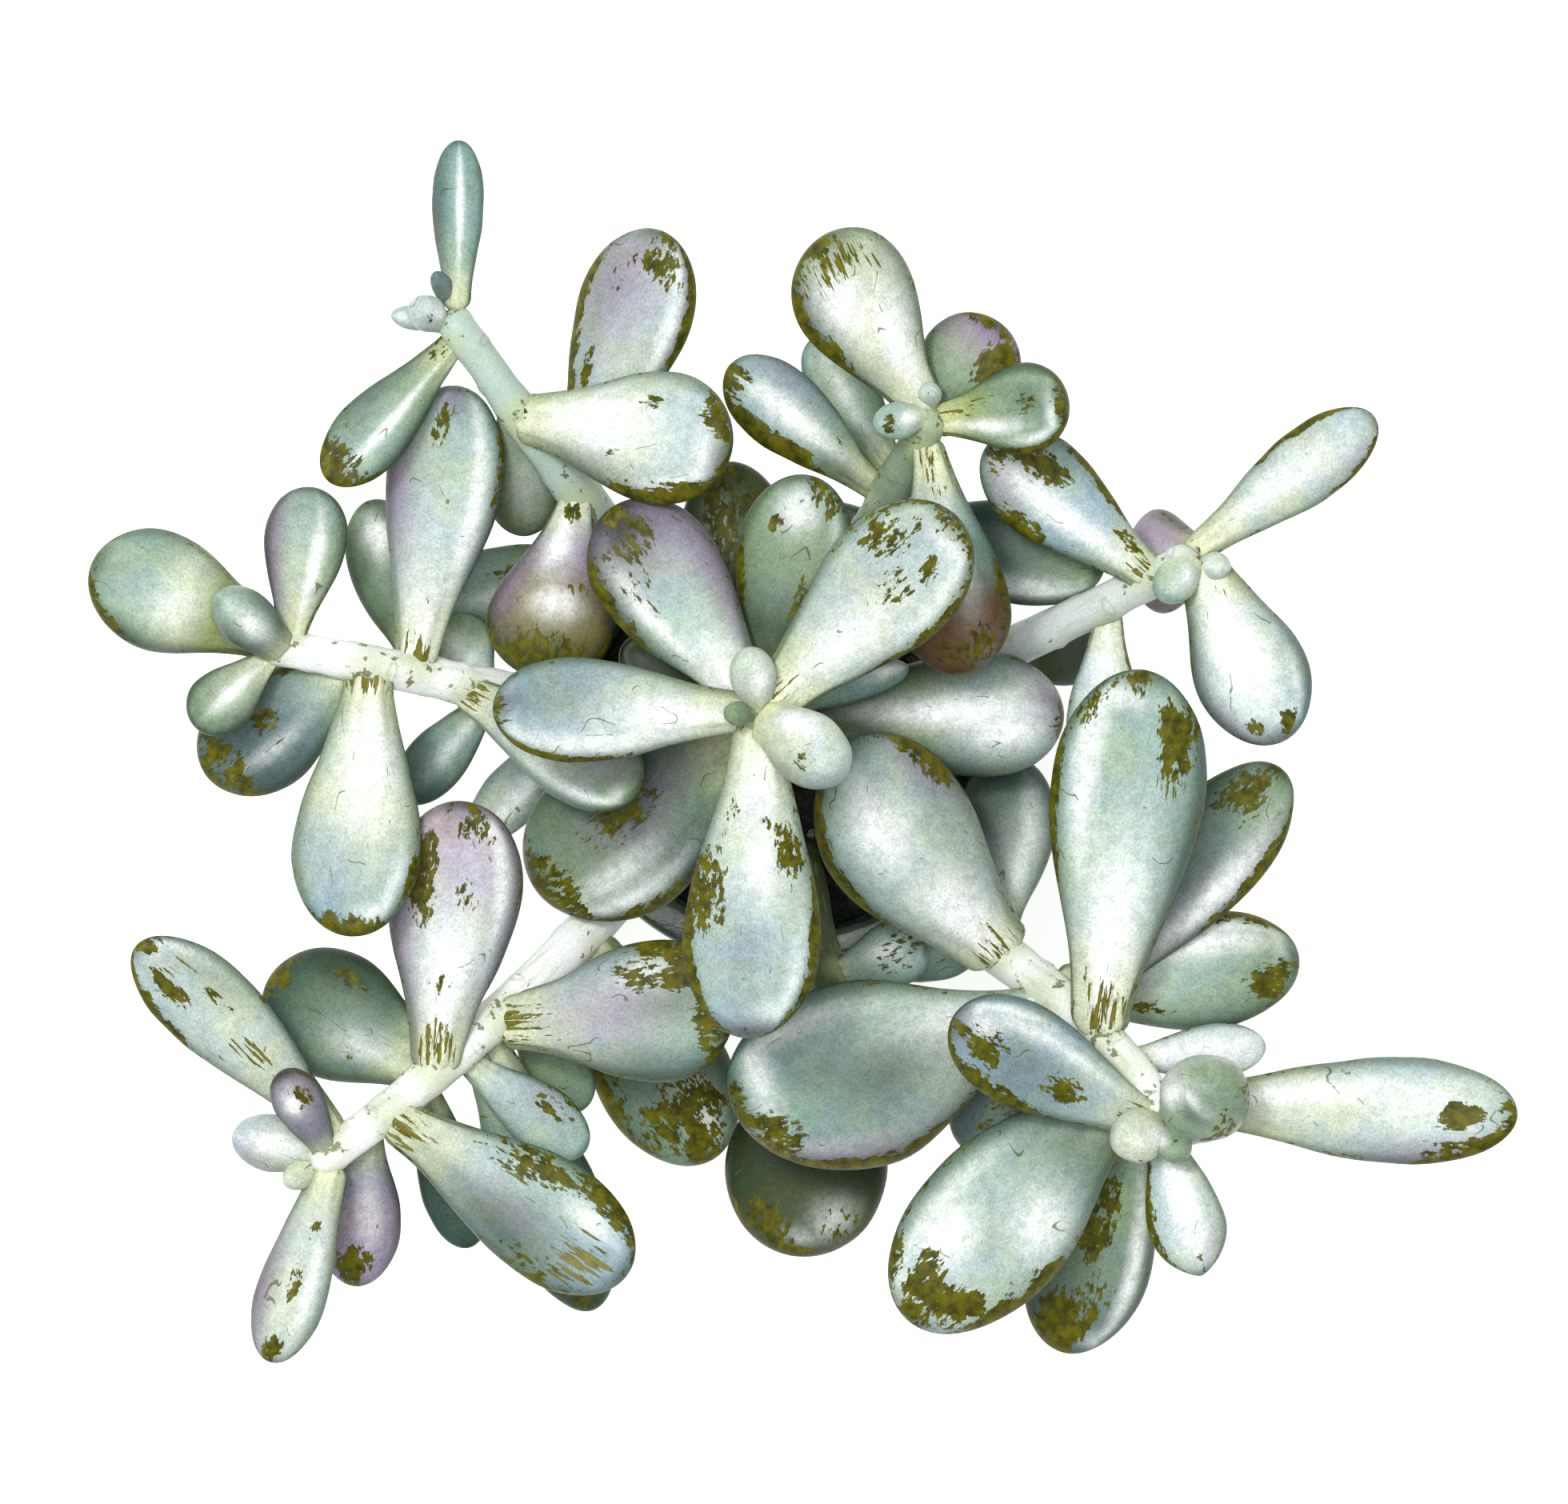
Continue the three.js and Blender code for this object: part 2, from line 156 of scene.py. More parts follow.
# The powdery skin's ground colours
TINTS = {
    "pale": "#bfc8c5",
    "cream": "#cacebd",
    "mint": "#a3b6ab",
    "teal": "#86a29c",
    "sage": "#84967f",
    "slate": "#697979",
    "moss": "#525d3d",
    "mauve": "#9b8ca0",
    # deep is painted shade: the dark ground given to leaves that lie in the shade of others.
    "deep": "#465c52",
    "bronze": "#7a6d43",
    "rust": "#6e5139",
    "lime": "#a3ab6c",
    "blue": "#a2b4bc",
    "bloomed": "#e3e6e4",
    "lilac": "#c3adc0",
}

# The stems: each has its skin's colour, and its cubic curve from the soil to the growing tip.
# Their leaves: each is its form, place along the stem, azimuth, pitch, roll, sway, length, width and
# lift, then the ground colours of its skin from root to tip, and the marks on it. A mark is what it
# is, where it lies along the leaf and across it (1 is the edge on the left, seen from the root), how
# far it reaches along and across, and how strong it is: wear is powder rubbed off, streak is powder
# rubbed off in lines, blush is mauve, bloom is thick white powder and painted highlight, lip is a
# painted highlight along the rim, and shade is painted shade.
STEMS = {
    "centre_shoot": ("sage", [[-3, 2, 44], [-3, 2, 75], [-5, 4, 105], [-4.5, 2.8, 132]]),
    "far_left_shoot": ("mint", [[-11, 14, 44], [-22, 22, 104], [-40, 46, 122], [-55, 68, 124]]),
    "left_shoot": ("bloomed", [[-16, 2, 44], [-28, 2, 100], [-56, 9, 112], [-85.8, 14.3, 114]]),
    "far_right_shoot": ("sage", [[5, 15, 44], [8, 22, 90], [16, 38, 112], [23.4, 51.4, 130]]),
    "right_shoot": ("pale", [[17, 5, 44], [24, 8, 93], [45, 17.5, 110], [66.6, 28.6, 118]]),
    "near_right_shoot": ("bloomed", [[12, -13, 44], [22, -33, 98], [50, -41, 116], [61.8, -63.7, 122]]),
    "near_left_shoot": ("bloomed", [[-13, -12, 44], [-22, -20, 94], [-45, -48, 110], [-77.6, -71, 112]]),
    "near_shoot": ("moss", [[1, -15, 44], [2, -24, 78], [6, -38, 90], [8, -50, 93]]),
}
LEAVES = {
    "centre_shoot": [
        ["ladle", 0.97, 45, 22, 0, 0, 46.5, 22, 0, ["cream", "pale"], [
            ("wear", 0.82, 0.52, 0.18, 0.42, 0.82), ("wear", 0.66, -0.12, 0.1, 0.34, 0.85),
            ("wear", 0.8, -0.3, 0.08, 0.24, 0.85), ("wear", 0.96, 0, 0.06, 1.3, 0.6),
            ("wear", 0.65, -0.95, 0.3, 0.14, 0.65), ("lip", 0.8, -0.4, 0.3, 0.8, 1),
            ("streak", 0.12, 0, 0.14, 0.8, 0.8), ("streak", 0.72, 0.15, 0.14, 0.5, 0.5),
            ("powder_and_highlight", 0.35, -0.2, 0.25, 0.5, 0.8), ("shade", 0.6, 0.2, 0.25, 0.5, 0.15)]],
        ["spoon", 0.86, 78, 7, 0, 0, 38.5, 18.5, 0, ["deep", "sage", "sage"], [
            ("wear", 0.78, 0.45, 0.05, 0.14, 1.3), ("wear", 0.45, -0.35, 0.17, 0.28, 0.95),
            ("wear", 0.92, -0.5, 0.1, 0.45, 0.85), ("wear", 0.5, 0.9, 0.2, 0.14, 0.8),
            ("powder_and_highlight", 0.86, 0.1, 0.1, 0.4, 1), ("lip", 0.7, -0.6, 0.25, 0.4, 0.6),
            ("shade", 0.3, 0, 0.26, 1.5, 0.68)]],
        ["spoon", 0.93, 126, 1, 0, 0, 40, 21, 0, ["pale", "mint", "mauve"], [
            ("wear", 0.88, 0.1, 0.14, 0.7, 0.8), ("wear", 0.72, 0.92, 0.28, 0.2, 0.75),
            ("wear", 0.66, 0.45, 0.12, 0.35, 0.68), ("blush", 0.6, -0.85, 0.45, 0.38, 1),
            ("blush", 0.97, -0.2, 0.12, 1, 0.9), ("powder_and_highlight", 0.5, 0.55, 0.3, 0.15, 1),
            ("powder_and_highlight", 0.15, 0.2, 0.2, 0.7, 0.9), ("shade", 0.95, 0.1, 0.16, 1, 1),
            ("shade", 0.7, 0.95, 0.3, 0.3, 0.7)]],
        ["ladle", 0.95, 179, 17, 0, 0, 43.5, 17, 0, ["cream", "pale", "blue"], [
            ("lip", 0.75, 0.8, 0.32, 0.6, 1), ("powder_and_highlight", 0.6, 0.68, 0.4, 0.24, 1),
            ("wear", 0.8, 1, 0.28, 0.16, 0.9), ("wear", 0.97, 0, 0.05, 1, 0.6),
            ("blush", 0.97, -0.3, 0.05, 0.5, 0.6), ("powder_and_highlight", 0.3, 0.1, 0.25, 0.5, 0.9),
            ("shade", 0.75, -0.25, 0.22, 0.6, 0.4), ("shade", 0.8, 1, 0.25, 0.14, 0.4)]],
        ["spoon", 0.96, 268, 17, 0, 0, 53, 22, 0, ["cream", "pale", "blue"], [
            ("wear", 0.56, -0.7, 0.16, 0.36, 0.95), ("wear", 0.42, 0.6, 0.12, 0.3, 0.95),
            ("wear", 0.35, 0.3, 0.05, 0.2, 0.7), ("wear", 0.3, -0.55, 0.12, 0.25, 0.7),
            ("wear", 0.72, 0.95, 0.25, 0.16, 0.8), ("wear", 0.78, -0.95, 0.22, 0.16, 0.9),
            ("streak", 0.2, 0, 0.2, 0.4, 0.5), ("powder_and_highlight", 0.45, 0.1, 0.15, 0.3, 0.7),
            ("lip", 0.85, 0.6, 0.2, 0.6, 0.8), ("blush", 1, 0, 0.05, 1, 0.8),
            ("shade", 0.72, -0.1, 0.2, 0.5, 0.3), ("powder_and_highlight", 0.2, 0, 0.15, 0.8, 0.7)]],
        ["pear", 0.7, -0.5, -6, 0, 0, 49, 20.5, 0, ["moss", "sage", "pale"], [
            ("powder_and_highlight", 0.55, 0.05, 0.35, 0.28, 1), ("powder_and_highlight", 0.8, -0.3, 0.14, 0.3, 1),
            ("blush", 0.95, 0.4, 0.1, 0.6, 0.9), ("wear", 0.97, 0, 0.04, 1, 0.4),
            ("shade", 0.12, 0.2, 0.28, 1, 1), ("shade", 0.5, -0.95, 0.3, 0.35, 0.8),
            ("shade", 0.4, 0.95, 0.3, 0.35, 0.9)]],
        ["egg", 0.74, 219, -16, 0, 8, 48, 28, 0, ["sage", "deep", "sage"], [
            ("wear", 0.56, -0.2, 0.22, 0.4, 0.85), ("wear", 0.68, -0.2, 0.08, 0.3, 0.7),
            ("wear", 0.92, 0.1, 0.08, 1.2, 0.9), ("wear", 0.75, 0.95, 0.2, 0.14, 0.7),
            ("blush", 0.5, -0.25, 0.26, 0.45, 0.45), ("lip", 0.75, 0.8, 0.25, 0.5, 1),
            ("powder_and_highlight", 0.72, 0.4, 0.2, 0.2, 0.6), ("shade", 0.5, -0.6, 0.35, 0.6, 0.35)]],
        ["egg", 0.74, 98, -2, 0, 0, 40.5, 19, 0, ["moss"], [
            ("wear", 0.8, 0, 0.3, 0.8, 0.8), ("powder_and_highlight", 0.75, 0.3, 0.12, 0.3, 0.3)]],
        ["finger", 0.8, 17, -6, 0, 0, 24.5, 6, 0, ["teal"], [("powder_and_highlight", 0.85, 0.2, 0.15, 0.4, 0.9)]],
        ["spoon", 0.72, 192, -12, 0, 0, 19.5, 9, 0, ["moss"], [("shade", 0.5, 0, 1, 2, 0.8)]],
        ["spoon", 0.74, 155, -8, 0, 0, 24.5, 11, 0, ["moss"], [("shade", 0.5, 0, 1, 2, 0.8)]],
        ["bud", 0.99, -36, 42, 0, 0, 19.5, 12, 0, ["cream", "pale"], [
            ("wear", 0.78, -0.3, 0.13, 0.45, 0.7), ("powder_and_highlight", 0.5, 0.4, 0.2, 0.35, 1),
            ("shade", 0.6, -0.9, 0.4, 0.35, 0.5)]],
        ["bud", 0.98, 100, 42, 0, 0, 12, 7.5, 0, ["pale"], [
            ("wear", 0.8, 0.3, 0.15, 0.4, 0.6), ("powder_and_highlight", 0.6, -0.2, 0.25, 0.4, 1)]],
        ["bud", 1, 178, 62, 0, 0, 7.5, 4, 0, ["sage"], []],
    ],
    "far_left_shoot": [
        ["finger", 1, 89, 8, 0, 0, 27.5, 8.5, 0, ["mint", "teal"], [
            ("powder_and_highlight", 0.6, -0.1, 0.35, 0.13, 1), ("blush", 0.4, 0.9, 0.3, 0.3, 0.4),
            ("wear", 0.07, 0, 0.05, 1, 0.5), ("shade", 0.6, 0.7, 0.45, 0.4, 0.55)]],
        ["spoon", 0.94, 228, 4, 0, 0, 31.5, 12, 0, ["sage", "mint"], [
            ("wear", 0.92, 0.1, 0.17, 1.3, 1.05), ("powder_and_highlight", 0.6, 0.2, 0.35, 0.13, 1),
            ("wear", 0.12, 0, 0.1, 1, 0.75), ("shade", 0.97, 0, 0.12, 1.5, 0.7),
            ("shade", 0.6, -0.6, 0.4, 0.4, 0.5), ("shade", 0.6, 0.9, 0.35, 0.25, 0.6)]],
        ["spoon", 0.75, -9, 24, 0, 0, 38.5, 21.5, 1, ["cream", "pale"], [
            ("wear", 0.74, -0.95, 0.26, 0.34, 1.15), ("wear", 0.93, 0.6, 0.09, 0.4, 1),
            ("wear", 0.03, 0.2, 0.04, 0.6, 0.9), ("wear", 0.62, 0.5, 0.1, 0.16, 0.75),
            ("wear", 0.5, -0.4, 0.07, 0.16, 0.7), ("lip", 0.8, -0.35, 0.25, 0.8, 1),
            ("powder_and_highlight", 0.4, 0.2, 0.25, 0.6, 0.8), ("blush", 0.95, -0.5, 0.08, 0.5, 0.7),
            ("shade", 0.4, -0.85, 0.3, 0.35, 0.6), ("shade", 0.75, -1, 0.25, 0.2, 0.8)]],
        ["spoon", 0.6, 69, 12, -12, 0, 42.5, 19.5, 0, ["pale", "pale", "pale"], [
            ("wear", 0.42, 0.92, 0.42, 0.24, 1.2), ("wear", 0.9, -0.35, 0.12, 0.6, 0.9),
            ("wear", 0.75, -1, 0.3, 0.15, 1), ("wear", 0.4, 0.45, 0.16, 0.15, 0.9),
            ("wear", 0.8, 0.3, 0.1, 0.3, 0.6), ("lip", 0.65, -0.7, 0.38, 0.35, 1),
            ("blush", 0.8, 0.4, 0.3, 0.8, 0.8), ("blush", 0.8, -0.95, 0.3, 0.2, 0.8),
            ("shade", 0.5, 0.5, 0.4, 0.35, 0.25)]],
        ["egg", 0.76, 274, -36, 0, 0, 26.5, 13, -1, ["sage", "moss"], [
            ("powder_and_highlight", 0.6, 0.2, 0.3, 0.5, 0.25)]],
        ["pear", 0.56, 258, 4, 0, 0, 31, 20.5, 0.5, ["pale", "mauve", "bronze", "bronze", "moss"], [
            ("wear", 0.9, 0, 0.18, 1.3, 0.85), ("wear", 0.1, 0, 0.07, 0.6, 0.9),
            ("wear", 0.5, 0.4, 0.05, 0.25, 0.9), ("powder_and_highlight", 0.6, 0.05, 0.09, 0.4, 0.8),
            ("blush", 0.35, 0.5, 0.2, 0.5, 0.6), ("blush", 0.55, -0.9, 0.2, 0.35, 0.9),
            ("powder_and_highlight", 0.25, -0.2, 0.2, 0.4, 0.9)]],
        ["egg", 0.66, -45, -46, 0, 0, 16, 8, -0.8, ["moss"], []],
        ["spoon", 0.37, 191, -8, 0, 0, 32.5, 13, -0.3, ["sage", "sage", "mint"], [
            ("wear", 0.5, -0.3, 0.25, 0.25, 0.8), ("powder_and_highlight", 0.5, 0.25, 0.3, 0.2, 0.9)]],
        ["bud", 0.99, 152, 62, 0, 0, 9.5, 6, 0, ["pale"], [
            ("wear", 0.75, 0.2, 0.15, 0.4, 0.8), ("powder_and_highlight", 0.6, -0.3, 0.3, 0.4, 0.8)]],
        ["bud", 0.99, 174, 22, 0, 0, 9.5, 4, 0, ["mint"], [("powder_and_highlight", 0.8, 0, 0.2, 0.6, 0.7)]],
        ["bud", 1, 120, 38, 0, 0, 8.5, 3.6, 0, ["slate"], []],
    ],
    "left_shoot": [
        ["egg", 0.99, 158, 10, 0, 0, 32, 19.5, 0, ["lime", "lime", "cream", "mint", "mint"], [
            ("wear", 0.88, 0.85, 0.18, 0.28, 0.9), ("streak", 0.25, 0.4, 0.2, 0.6, 0.3),
            ("powder_and_highlight", 0.55, 0.2, 0.12, 0.5, 0.4), ("shade", 0.75, 0.95, 0.35, 0.25, 0.7),
            ("shade", 0.14, 0, 0.17, 1, 0.8), ("shade", 0.85, -0.2, 0.2, 0.6, 0.2)]],
        ["spoon", 0.95, 80, 18, 0, 0, 27, 13.6, 0.3, ["cream", "mint"], [
            ("blush", 0.55, 0.85, 0.45, 0.4, 1), ("powder_and_highlight", 0.5, -0.35, 0.35, 0.16, 1),
            ("shade", 0.7, -0.9, 0.35, 0.3, 0.5), ("shade", 0.5, 0.98, 0.4, 0.25, 0.5)]],
        ["spoon", 0.98, 224, 22, 0, 0, 18.5, 10.6, 0, ["cream", "sage"], [
            ("powder_and_highlight", 0.55, 0, 0.3, 0.2, 1), ("shade", 0.7, 0.9, 0.35, 0.35, 0.6),
            ("shade", 0.7, -0.95, 0.3, 0.25, 0.4)]],
        ["egg", 0.83, 217, -14, 0, 0, 32, 19, -0.6, ["mint", "slate", "slate"], [
            ("wear", 0.88, 0.1, 0.14, 1.2, 1.1), ("wear", 0.5, -0.9, 0.4, 0.22, 1.1),
            ("wear", 0.55, -0.2, 0.1, 0.35, 0.85), ("powder_and_highlight", 0.6, 0.35, 0.2, 0.14, 0.5),
            ("streak", 0.6, 0, 0.25, 0.6, 0.6), ("shade", 0.5, -0.6, 0.4, 0.5, 0.3),
            ("shade", 0.8, 0.6, 0.2, 0.4, 0.4)]],
        ["spoon", 0.8, 266.5, 14, 0, 0, 45, 21, 0.5, ["cream", "cream", "blue"], [
            ("wear", 0.97, -0.1, 0.06, 1.1, 1.1), ("wear", 0.75, 0.92, 0.1, 0.1, 0.8),
            ("powder_and_highlight", 0.35, 0.1, 0.25, 0.6, 0.8), ("lip", 0.85, 0.5, 0.2, 0.5, 0.9),
            ("streak", 0.06, 0, 0.06, 1, 1), ("shade", 0.75, -0.2, 0.2, 0.7, 0.15)]],
        ["spoon", 0.72, 80.5, 12, 0, 0, 47.5, 19, 0.4, ["cream", "pale", "mint"], [
            ("blush", 0.65, 0.92, 0.3, 0.45, 1), ("blush", 0.97, 0.2, 0.08, 0.8, 0.8),
            ("blush", 0.6, -0.98, 0.3, 0.14, 0.7), ("wear", 0.85, 0.25, 0.1, 0.26, 1),
            ("wear", 0.72, -0.92, 0.15, 0.12, 0.7), ("wear", 0.24, 0.1, 0.06, 0.3, 0.75),
            ("powder_and_highlight", 0.6, -0.6, 0.35, 0.15, 1), ("powder_and_highlight", 0.15, 0, 0.2, 0.8, 0.6),
            ("streak", 0.07, 0, 0.08, 1, 1)]],
        ["egg", 0.69, 109, -12, 0, 0, 31, 14, -0.5, ["moss", "sage"], [
            ("powder_and_highlight", 0.8, 0.1, 0.12, 0.4, 1)]],
        ["spoon", 0.62, -29, 18, 0, 0, 36, 16, 0, ["cream", "pale", "sage"], [
            ("blush", 0.65, 0.3, 0.3, 0.5, 0.7), ("lip", 0.75, -0.75, 0.3, 0.5, 1),
            ("shade", 0.6, 0.6, 0.4, 0.6, 0.2), ("streak", 0.1, 0, 0.1, 1, 0.9),
            ("wear", 0.35, 0.9, 0.2, 0.2, 0.8)]],
        ["spoon", 0.56, 118, -35, 0, 0, 17, 10, -0.8, ["pale", "sage"], [
            ("powder_and_highlight", 0.5, 0.2, 0.3, 0.4, 0.5)]],
        ["spoon", 0.54, 228, -22, 0, 0, 26, 10, -0.6, ["mint", "deep"], [
            ("powder_and_highlight", 0.4, 0.1, 0.3, 0.3, 0.5)]],
        ["finger", 0.33, 228, -14, 0, 0, 29.5, 10, -0.4, ["deep", "pale"], [
            ("powder_and_highlight", 0.7, 0.2, 0.3, 0.3, 0.8)]],
        ["bud", 0.97, 138, 42, 0, 0, 16.5, 9.3, 0.8, ["slate", "mint"], [
            ("powder_and_highlight", 0.62, 0, 0.24, 0.4, 1), ("shade", 0.5, 0.95, 0.5, 0.4, 0.8),
            ("shade", 0.5, -0.95, 0.5, 0.4, 0.6)]],
        ["bud", 1, 90, 80, 0, 0, 4.5, 3.4, 0, ["sage"], []],
    ],
    "far_right_shoot": [
        ["spoon", 0.99, 122, 24, 0, 8, 35, 20, 0, ["cream"], [
            ("wear", 0.62, 0.9, 0.32, 0.26, 1.05), ("streak", 0.88, 0, 0.18, 1.2, 0.95),
            ("wear", 0.97, 0.4, 0.05, 0.8, 0.7), ("powder_and_highlight", 0.68, 0.3, 0.17, 0.45, 1),
            ("powder_and_highlight", 0.35, -0.3, 0.3, 0.4, 1), ("shade", 0.6, 0.95, 0.4, 0.4, 0.9),
            ("shade", 0.5, -0.95, 0.35, 0.25, 0.4), ("blush", 0.68, 1, 0.15, 0.2, 0.6),
            ("shade", 0.95, -0.3, 0.1, 0.8, 0.25)]],
        ["ladle", 0.98, 6, 30, 0, 0, 24, 14.5, 0, ["lime", "sage", "sage"], [
            ("streak", 0.22, 0.3, 0.25, 0.6, 0.9), ("wear", 0.8, -0.97, 0.25, 0.14, 0.9),
            ("wear", 0.96, 0, 0.05, 1, 0.8), ("wear", 0.7, 0.1, 0.1, 0.3, 0.75),
            ("streak", 0.68, 0.05, 0.1, 0.4, 0.7), ("lip", 0.8, -0.4, 0.25, 0.8, 1),
            ("powder_and_highlight", 0.4, -0.4, 0.25, 0.2, 0.9), ("shade", 0.5, 0.98, 0.4, 0.2, 0.5),
            ("shade", 0.7, 0.1, 0.15, 0.4, 0.25)]],
        ["egg", 0.93, 56, 6, 0, 0, 21, 16.5, 0, ["deep", "sage", "mauve"], [
            ("wear", 0.72, -0.5, 0.26, 0.5, 1.25), ("wear", 0.95, 0.5, 0.1, 0.6, 1.1),
            ("blush", 0.95, -0.1, 0.15, 0.6, 1)]],
        ["spoon", 0.69, 141, 10, 0, 0, 33, 13.5, 0, ["sage", "blue"], [
            ("wear", 0.6, 0.85, 0.38, 0.42, 1.15), ("wear", 0.93, 0.3, 0.1, 0.9, 1.05),
            ("powder_and_highlight", 0.6, 0, 0.35, 0.3, 1), ("blush", 0.75, -0.75, 0.2, 0.35, 0.5),
            ("wear", 0.3, -0.2, 0.12, 0.35, 0.75), ("shade", 0.2, 0.5, 0.2, 0.6, 0.6)]],
        ["spoon", 0.74, 121, -8, 0, 0, 27, 11, -0.6, ["deep", "sage", "mint"], [
            ("powder_and_highlight", 0.6, 0.1, 0.25, 0.25, 0.6), ("shade", 0.4, 0.5, 0.4, 0.6, 0.4)]],
        ["pear", 0.92, 279.5, -10, 0, 0, 39.5, 18.5, 0, ["cream", "mint", "teal", "rust", "rust"], [
            ("wear", 0.88, 0.2, 0.12, 0.9, 0.9), ("wear", 0.68, 0.92, 0.14, 0.15, 0.7),
            ("streak", 0.15, 0, 0.15, 0.7, 0.9), ("powder_and_highlight", 0.48, 0.25, 0.2, 0.25, 1),
            ("blush", 0.93, 0.6, 0.1, 0.4, 0.5)]],
        ["egg", 0.58, -11, 5, 0, 0, 37.5, 17, -0.1, ["deep", "deep", "sage"], [
            ("shade", 0.6, 0.5, 0.45, 0.7, 0.6), ("lip", 0.7, -0.85, 0.3, 0.4, 1),
            ("powder_and_highlight", 0.7, -0.65, 0.2, 0.2, 0.8)]],
        ["bud", 0.98, 192, 30, 0, 0, 9.5, 6.2, 0, ["mint"], [
            ("wear", 0.85, 0.2, 0.15, 0.8, 0.8), ("powder_and_highlight", 0.45, 0, 0.2, 0.4, 1)]],
        ["bud", 1, 95, 60, 0, 0, 5.5, 4, 0, ["pale"], [("wear", 0.9, 0, 0.1, 1, 0.6)]],
    ],
    "right_shoot": [
        ["spoon", 0.98, 37, 12, 0, 0, 38.5, 12.5, 0, ["cream", "pale"], [
            ("wear", 0.72, 0.92, 0.26, 0.16, 0.95), ("wear", 0.85, -0.9, 0.16, 0.2, 0.95),
            ("powder_and_highlight", 0.5, 0.1, 0.35, 0.4, 0.6), ("streak", 0.15, 0, 0.15, 0.8, 0.6),
            ("blush", 0.85, -0.7, 0.15, 0.3, 0.4)]],
        ["egg", 0.995, 294, 14, 0, 0, 33, 18.5, 0, ["cream", "blue"], [
            ("wear", 0.92, 0.35, 0.06, 0.35, 1.1), ("wear", 0.9, -0.5, 0.06, 0.3, 0.9),
            ("lip", 0.8, 0.4, 0.2, 0.6, 0.9), ("powder_and_highlight", 0.5, -0.1, 0.38, 0.6, 1),
            ("blush", 0.85, -0.9, 0.2, 0.25, 0.8), ("blush", 1, 0, 0.05, 1, 0.7),
            ("shade", 0.35, -0.98, 0.35, 0.25, 0.6), ("streak", 0.15, 0.1, 0.12, 0.3, 0.7),
            ("shade", 0.7, 0.98, 0.3, 0.2, 0.4)]],
        ["spoon", 0.89, 141, 8, 0, 0, 35, 16.5, 0.6, ["pale", "blue", "mint"], [
            ("wear", 0.76, -0.35, 0.2, 0.38, 1.1), ("wear", 0.64, 0.82, 0.18, 0.26, 0.95),
            ("wear", 0.2, -0.5, 0.16, 0.4, 1), ("wear", 0.45, -0.92, 0.25, 0.2, 0.95),
            ("wear", 0.93, 0.2, 0.07, 0.6, 0.8), ("powder_and_highlight", 0.5, 0.2, 0.4, 0.28, 1),
            ("blush", 0.85, 0.45, 0.15, 0.5, 0.8), ("streak", 0.1, 0, 0.1, 1, 0.7)]],
        ["egg", 0.99, 186, -66, 0, 0, 24.5, 17, -1, ["lilac"], [
            ("blush", 0.5, -0.8, 0.5, 0.6, 0.5), ("powder_and_highlight", 0.5, 0.2, 0.3, 0.4, 0.5)]],
        ["spoon", 0.76, 268, -12, 0, 0, 28, 12, -0.2, ["bloomed"], [
            ("wear", 0.5, 0.92, 0.35, 0.12, 0.85), ("powder_and_highlight", 0.5, 0, 0.4, 0.5, 1)]],
        ["egg", 0.45, 4, -42, 0, 0, 25, 12, -0.7, ["moss"], [("shade", 0.5, 0, 1, 2, 0.6)]],
        ["bud", 0.98, 226, 44, 0, 0, 10.5, 7, 0.3, ["cream", "mint"], [
            ("powder_and_highlight", 0.6, 0.2, 0.3, 0.4, 0.8), ("wear", 0.6, -0.5, 0.2, 0.3, 0.5)]],
        ["bud", 1, -10, 60, 0, 0, 7, 4.6, 0, ["pale"], [("powder_and_highlight", 0.6, 0, 0.3, 0.5, 0.6)]],
    ],
    "near_right_shoot": [
        ["spoon", 0.96, -1.5, 8, 0, 0, 57, 17.5, 0, ["cream", "cream", "pale", "pale"], [
            ("wear", 0.84, -0.05, 0.08, 0.34, 1.2), ("wear", 0.88, -0.8, 0.16, 0.32, 1.1),
            ("wear", 0.97, 0, 0.03, 1, 0.6), ("blush", 0.8, -0.95, 0.25, 0.35, 1),
            ("powder_and_highlight", 0.4, 0.4, 0.35, 0.3, 0.8), ("powder_and_highlight", 0.72, 0.2, 0.15, 0.4, 0.6),
            ("streak", 0.3, -0.4, 0.3, 0.2, 0.5), ("streak", 0.06, 0, 0.06, 1, 0.8)]],
        ["spoon", 0.99, 152, 16, 0, 0, 40.5, 17, 0, ["cream", "blue", "blue"], [
            ("wear", 0.85, 0.15, 0.13, 0.55, 1.05), ("wear", 0.75, 0.92, 0.28, 0.26, 1.1),
            ("wear", 0.45, 0.2, 0.12, 0.4, 0.95), ("powder_and_highlight", 0.6, -0.5, 0.35, 0.16, 0.9),
            ("blush", 0.97, 0, 0.06, 1, 0.7), ("shade", 0.65, 0.2, 0.3, 0.6, 0.6),
            ("streak", 0.14, 0, 0.14, 1, 1), ("powder_and_highlight", 0.88, -0.2, 0.08, 0.35, 1),
            ("lip", 0.8, -0.6, 0.25, 0.5, 1)]],
        ["tapered", 0.98, 285, 14, 0, 0, 27, 12.7, 0, ["pale"], [
            ("wear", 0.55, -0.92, 0.4, 0.22, 0.9), ("wear", 0.92, 0, 0.06, 0.8, 0.6),
            ("powder_and_highlight", 0.5, 0.1, 0.4, 0.4, 1), ("blush", 0.85, 0.5, 0.15, 0.4, 0.5)]],
        ["spoon", 0.76, 83.5, 12, 0, 0, 61.5, 25, 0.9, ["cream", "mint", "mint"], [
            ("wear", 0.83, -0.6, 0.15, 0.32, 1.1), ("streak", 0.74, -0.55, 0.1, 0.3, 0.9),
            ("wear", 0.97, 0.1, 0.04, 0.5, 0.8), ("wear", 0.6, 0.97, 0.2, 0.08, 0.95),
            ("wear", 0.9, 0.75, 0.08, 0.2, 0.75), ("lip", 0.85, 0.5, 0.25, 0.8, 1),
            ("powder_and_highlight", 0.7, 0.6, 0.3, 0.18, 1), ("powder_and_highlight", 0.28, 0, 0.25, 0.6, 1),
